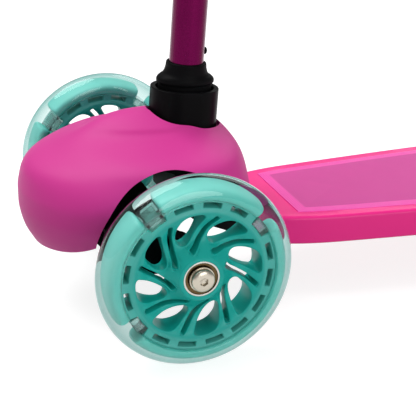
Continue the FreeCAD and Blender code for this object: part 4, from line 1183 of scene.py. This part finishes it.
class SCOOTER_OT_rear(bpy.types.Operator):
    """Rear wheel and foot brake"""
    bl_idname = "scooter.rear"
    bl_label = "Rear wheel and brake"

    def execute(self, context):
        refined("rear_teal", "teal_plastic", 0.5, "rear_wheel_core")
        refined("resin", "clear_tyre", 0.3, "rear_tyre")
        refined("steel", "steel", 0.3, "rear_axle_bolt", "rear_axle_nut", "rear_washers", "brake_pad",
                "brake_hinge_pin")
        refined("race", "steel", 0.2, "rear_bearing_inner", "rear_bearing_outer", "rear_axle_spacer")
        refined("spring", "spring_steel", 0.0, "brake_spring")
        refined("black", "fender_plastic", 0.6, "brake_fender")
        return {"FINISHED"}


# ---- stage ------------------------------------------------------------------
WHITE = (1.0, 1.0, 1.0)
WORLD_LIGHT = 0.36            # what the world lights with; the camera sees it at 1
FLOOR_GLOW = 0.8
FLOOR_HALF = 6.0
# name, place, height that it aims at on the front axle's middle, size in metres, and watts
LAMPS = (("key", (-0.5, -0.8, 1.9), 0.08, 1.6, 32.0), ("fill", (1.9, 0.2, 0.7), 0.08, 1.2, 13.0),
         ("back", (-1.3, 1.2, 1.3), 0.1, 1.4, 8.0))


def area_lamp(name, place, aim_height, size, power):
    """A round lamp that points at a height on the front axle's middle."""
    lamp = bpy.data.lights.new(name, "AREA")
    lamp.shape = "DISK"
    lamp.size = size
    lamp.energy = power
    holder = linked(name, lamp)
    holder.location = place
    holder.rotation_mode = "QUATERNION"
    aim = Vector((0.0, WHEEL_MID.y, aim_height))
    holder.rotation_quaternion = (Vector(place) - aim).to_track_quat("Z", "Y")


def floor_finish():
    """Pale floor that reads as white to the eye and in reflections, and still takes a soft shadow."""
    m = Maker("floor")
    fleck = m.noise(m.place(), 30.0, 2.0)
    shade = m.mix(fleck * 0.05, (0.42, 0.42, 0.42), (0.38, 0.38, 0.38))
    base = m.node("ShaderNodeBsdfDiffuse", None, {"Color": shade})[0]
    glow = m.node("ShaderNodeEmission", None, {"Color": WHITE, "Strength": FLOOR_GLOW})[0]
    both = m.node("ShaderNodeAddShader", None, {0: base, 1: glow})[0]
    seen = m.ray("Is Camera Ray") + m.ray("Is Glossy Ray") + m.ray("Is Transmission Ray")
    return m.finish(m.mixed(seen.clamped(), base, both))


def studio():
    """World that lights softly and looks white to the camera."""
    m = Maker("studio", world=True)
    light = m.node("ShaderNodeBackground", None, {"Color": WHITE, "Strength": WORLD_LIGHT})[0]
    white = m.node("ShaderNodeBackground", None, {"Color": WHITE, "Strength": 1.0})[0]
    return m.finish(m.mixed(m.ray("Is Camera Ray"), light, white))


def set_camera():
    """Camera on its bearing round the front axle, turned about its own axis by its roll."""
    c = bpy.context.scene.scooter_camera
    level = math.cos(c.elevation)
    back = Vector((math.sin(c.azimuth) * level, -math.cos(c.azimuth) * level, math.sin(c.elevation)))
    target = Vector((0.0, WHEEL_MID.y + c.ahead, c.height))
    right = (-back).cross(Vector((0, 0, 1))).normalized()
    up = right.cross(-back)
    turned_right = right * math.cos(c.roll) + up * math.sin(c.roll)
    turned_up = up * math.cos(c.roll) - right * math.sin(c.roll)
    camera = bpy.data.cameras.new("camera")
    camera.lens = c.lens
    camera.sensor_width = 36.0
    camera.clip_start = 0.01
    holder = linked("camera", camera)
    place = Matrix((turned_right, turned_up, back)).transposed().to_4x4()
    place.translation = target + back * c.distance
    holder.matrix_world = place
    bpy.context.scene.camera = holder


class SCOOTER_OT_stage(bpy.types.Operator):
    """Floor, world, lamps and camera"""
    bl_idname = "scooter.stage"
    bl_label = "Stage"

    def execute(self, context):
        scene = context.scene
        scene.view_settings.view_transform = "Standard"
        corners = [(x * FLOOR_HALF, y * FLOOR_HALF, 0) for x, y in ((-1, -1), (1, -1), (1, 1), (-1, 1))]
        floor = mesh_of("floor", corners, [(0, 1, 2, 3)], smooth=False)
        floor.materials.append(floor_finish())
        linked("floor", floor)
        scene.world = studio()
        for lamp in LAMPS:
            area_lamp(*lamp)
        set_camera()
        return {"FINISHED"}


class SCOOTER_PT_panel(bpy.types.Panel):
    """Lists the scooter's pieces"""
    bl_idname = "SCOOTER_PT_panel"
    bl_label = "Scooter"
    bl_space_type = "VIEW_3D"
    bl_region_type = "UI"
    bl_category = "Scooter"

    def draw(self, context):
        for operator in PIECES:
            self.layout.operator(operator.bl_idname)
        for name, group in SETTINGS.items():
            for key in group.__annotations__:
                self.layout.prop(getattr(context.scene, name), key)


PIECES = (SCOOTER_OT_stage, SCOOTER_OT_cover, SCOOTER_OT_wheels, SCOOTER_OT_deck, SCOOTER_OT_stem,
          SCOOTER_OT_rear)
SETTINGS = {"scooter_colours": ScooterColours, "scooter_sizes": ScooterSizes,
            "scooter_camera": ScooterCamera}
CLASSES = (*SETTINGS.values(), *PIECES, SCOOTER_PT_panel)


def register():
    for cls in CLASSES:
        bpy.utils.register_class(cls)
    for name, group in SETTINGS.items():
        setattr(bpy.types.Scene, name, PointerProperty(type=group))


def unregister():
    for name in SETTINGS:
        delattr(bpy.types.Scene, name)
    for cls in reversed(CLASSES):
        bpy.utils.unregister_class(cls)


def main():
    register()
    bpy.ops.scooter.stage()
    bpy.ops.scooter.cover()
    bpy.ops.scooter.wheels()
    bpy.ops.scooter.deck()
    bpy.ops.scooter.stem()
    bpy.ops.scooter.rear()


if __name__ == "__main__":
    main()
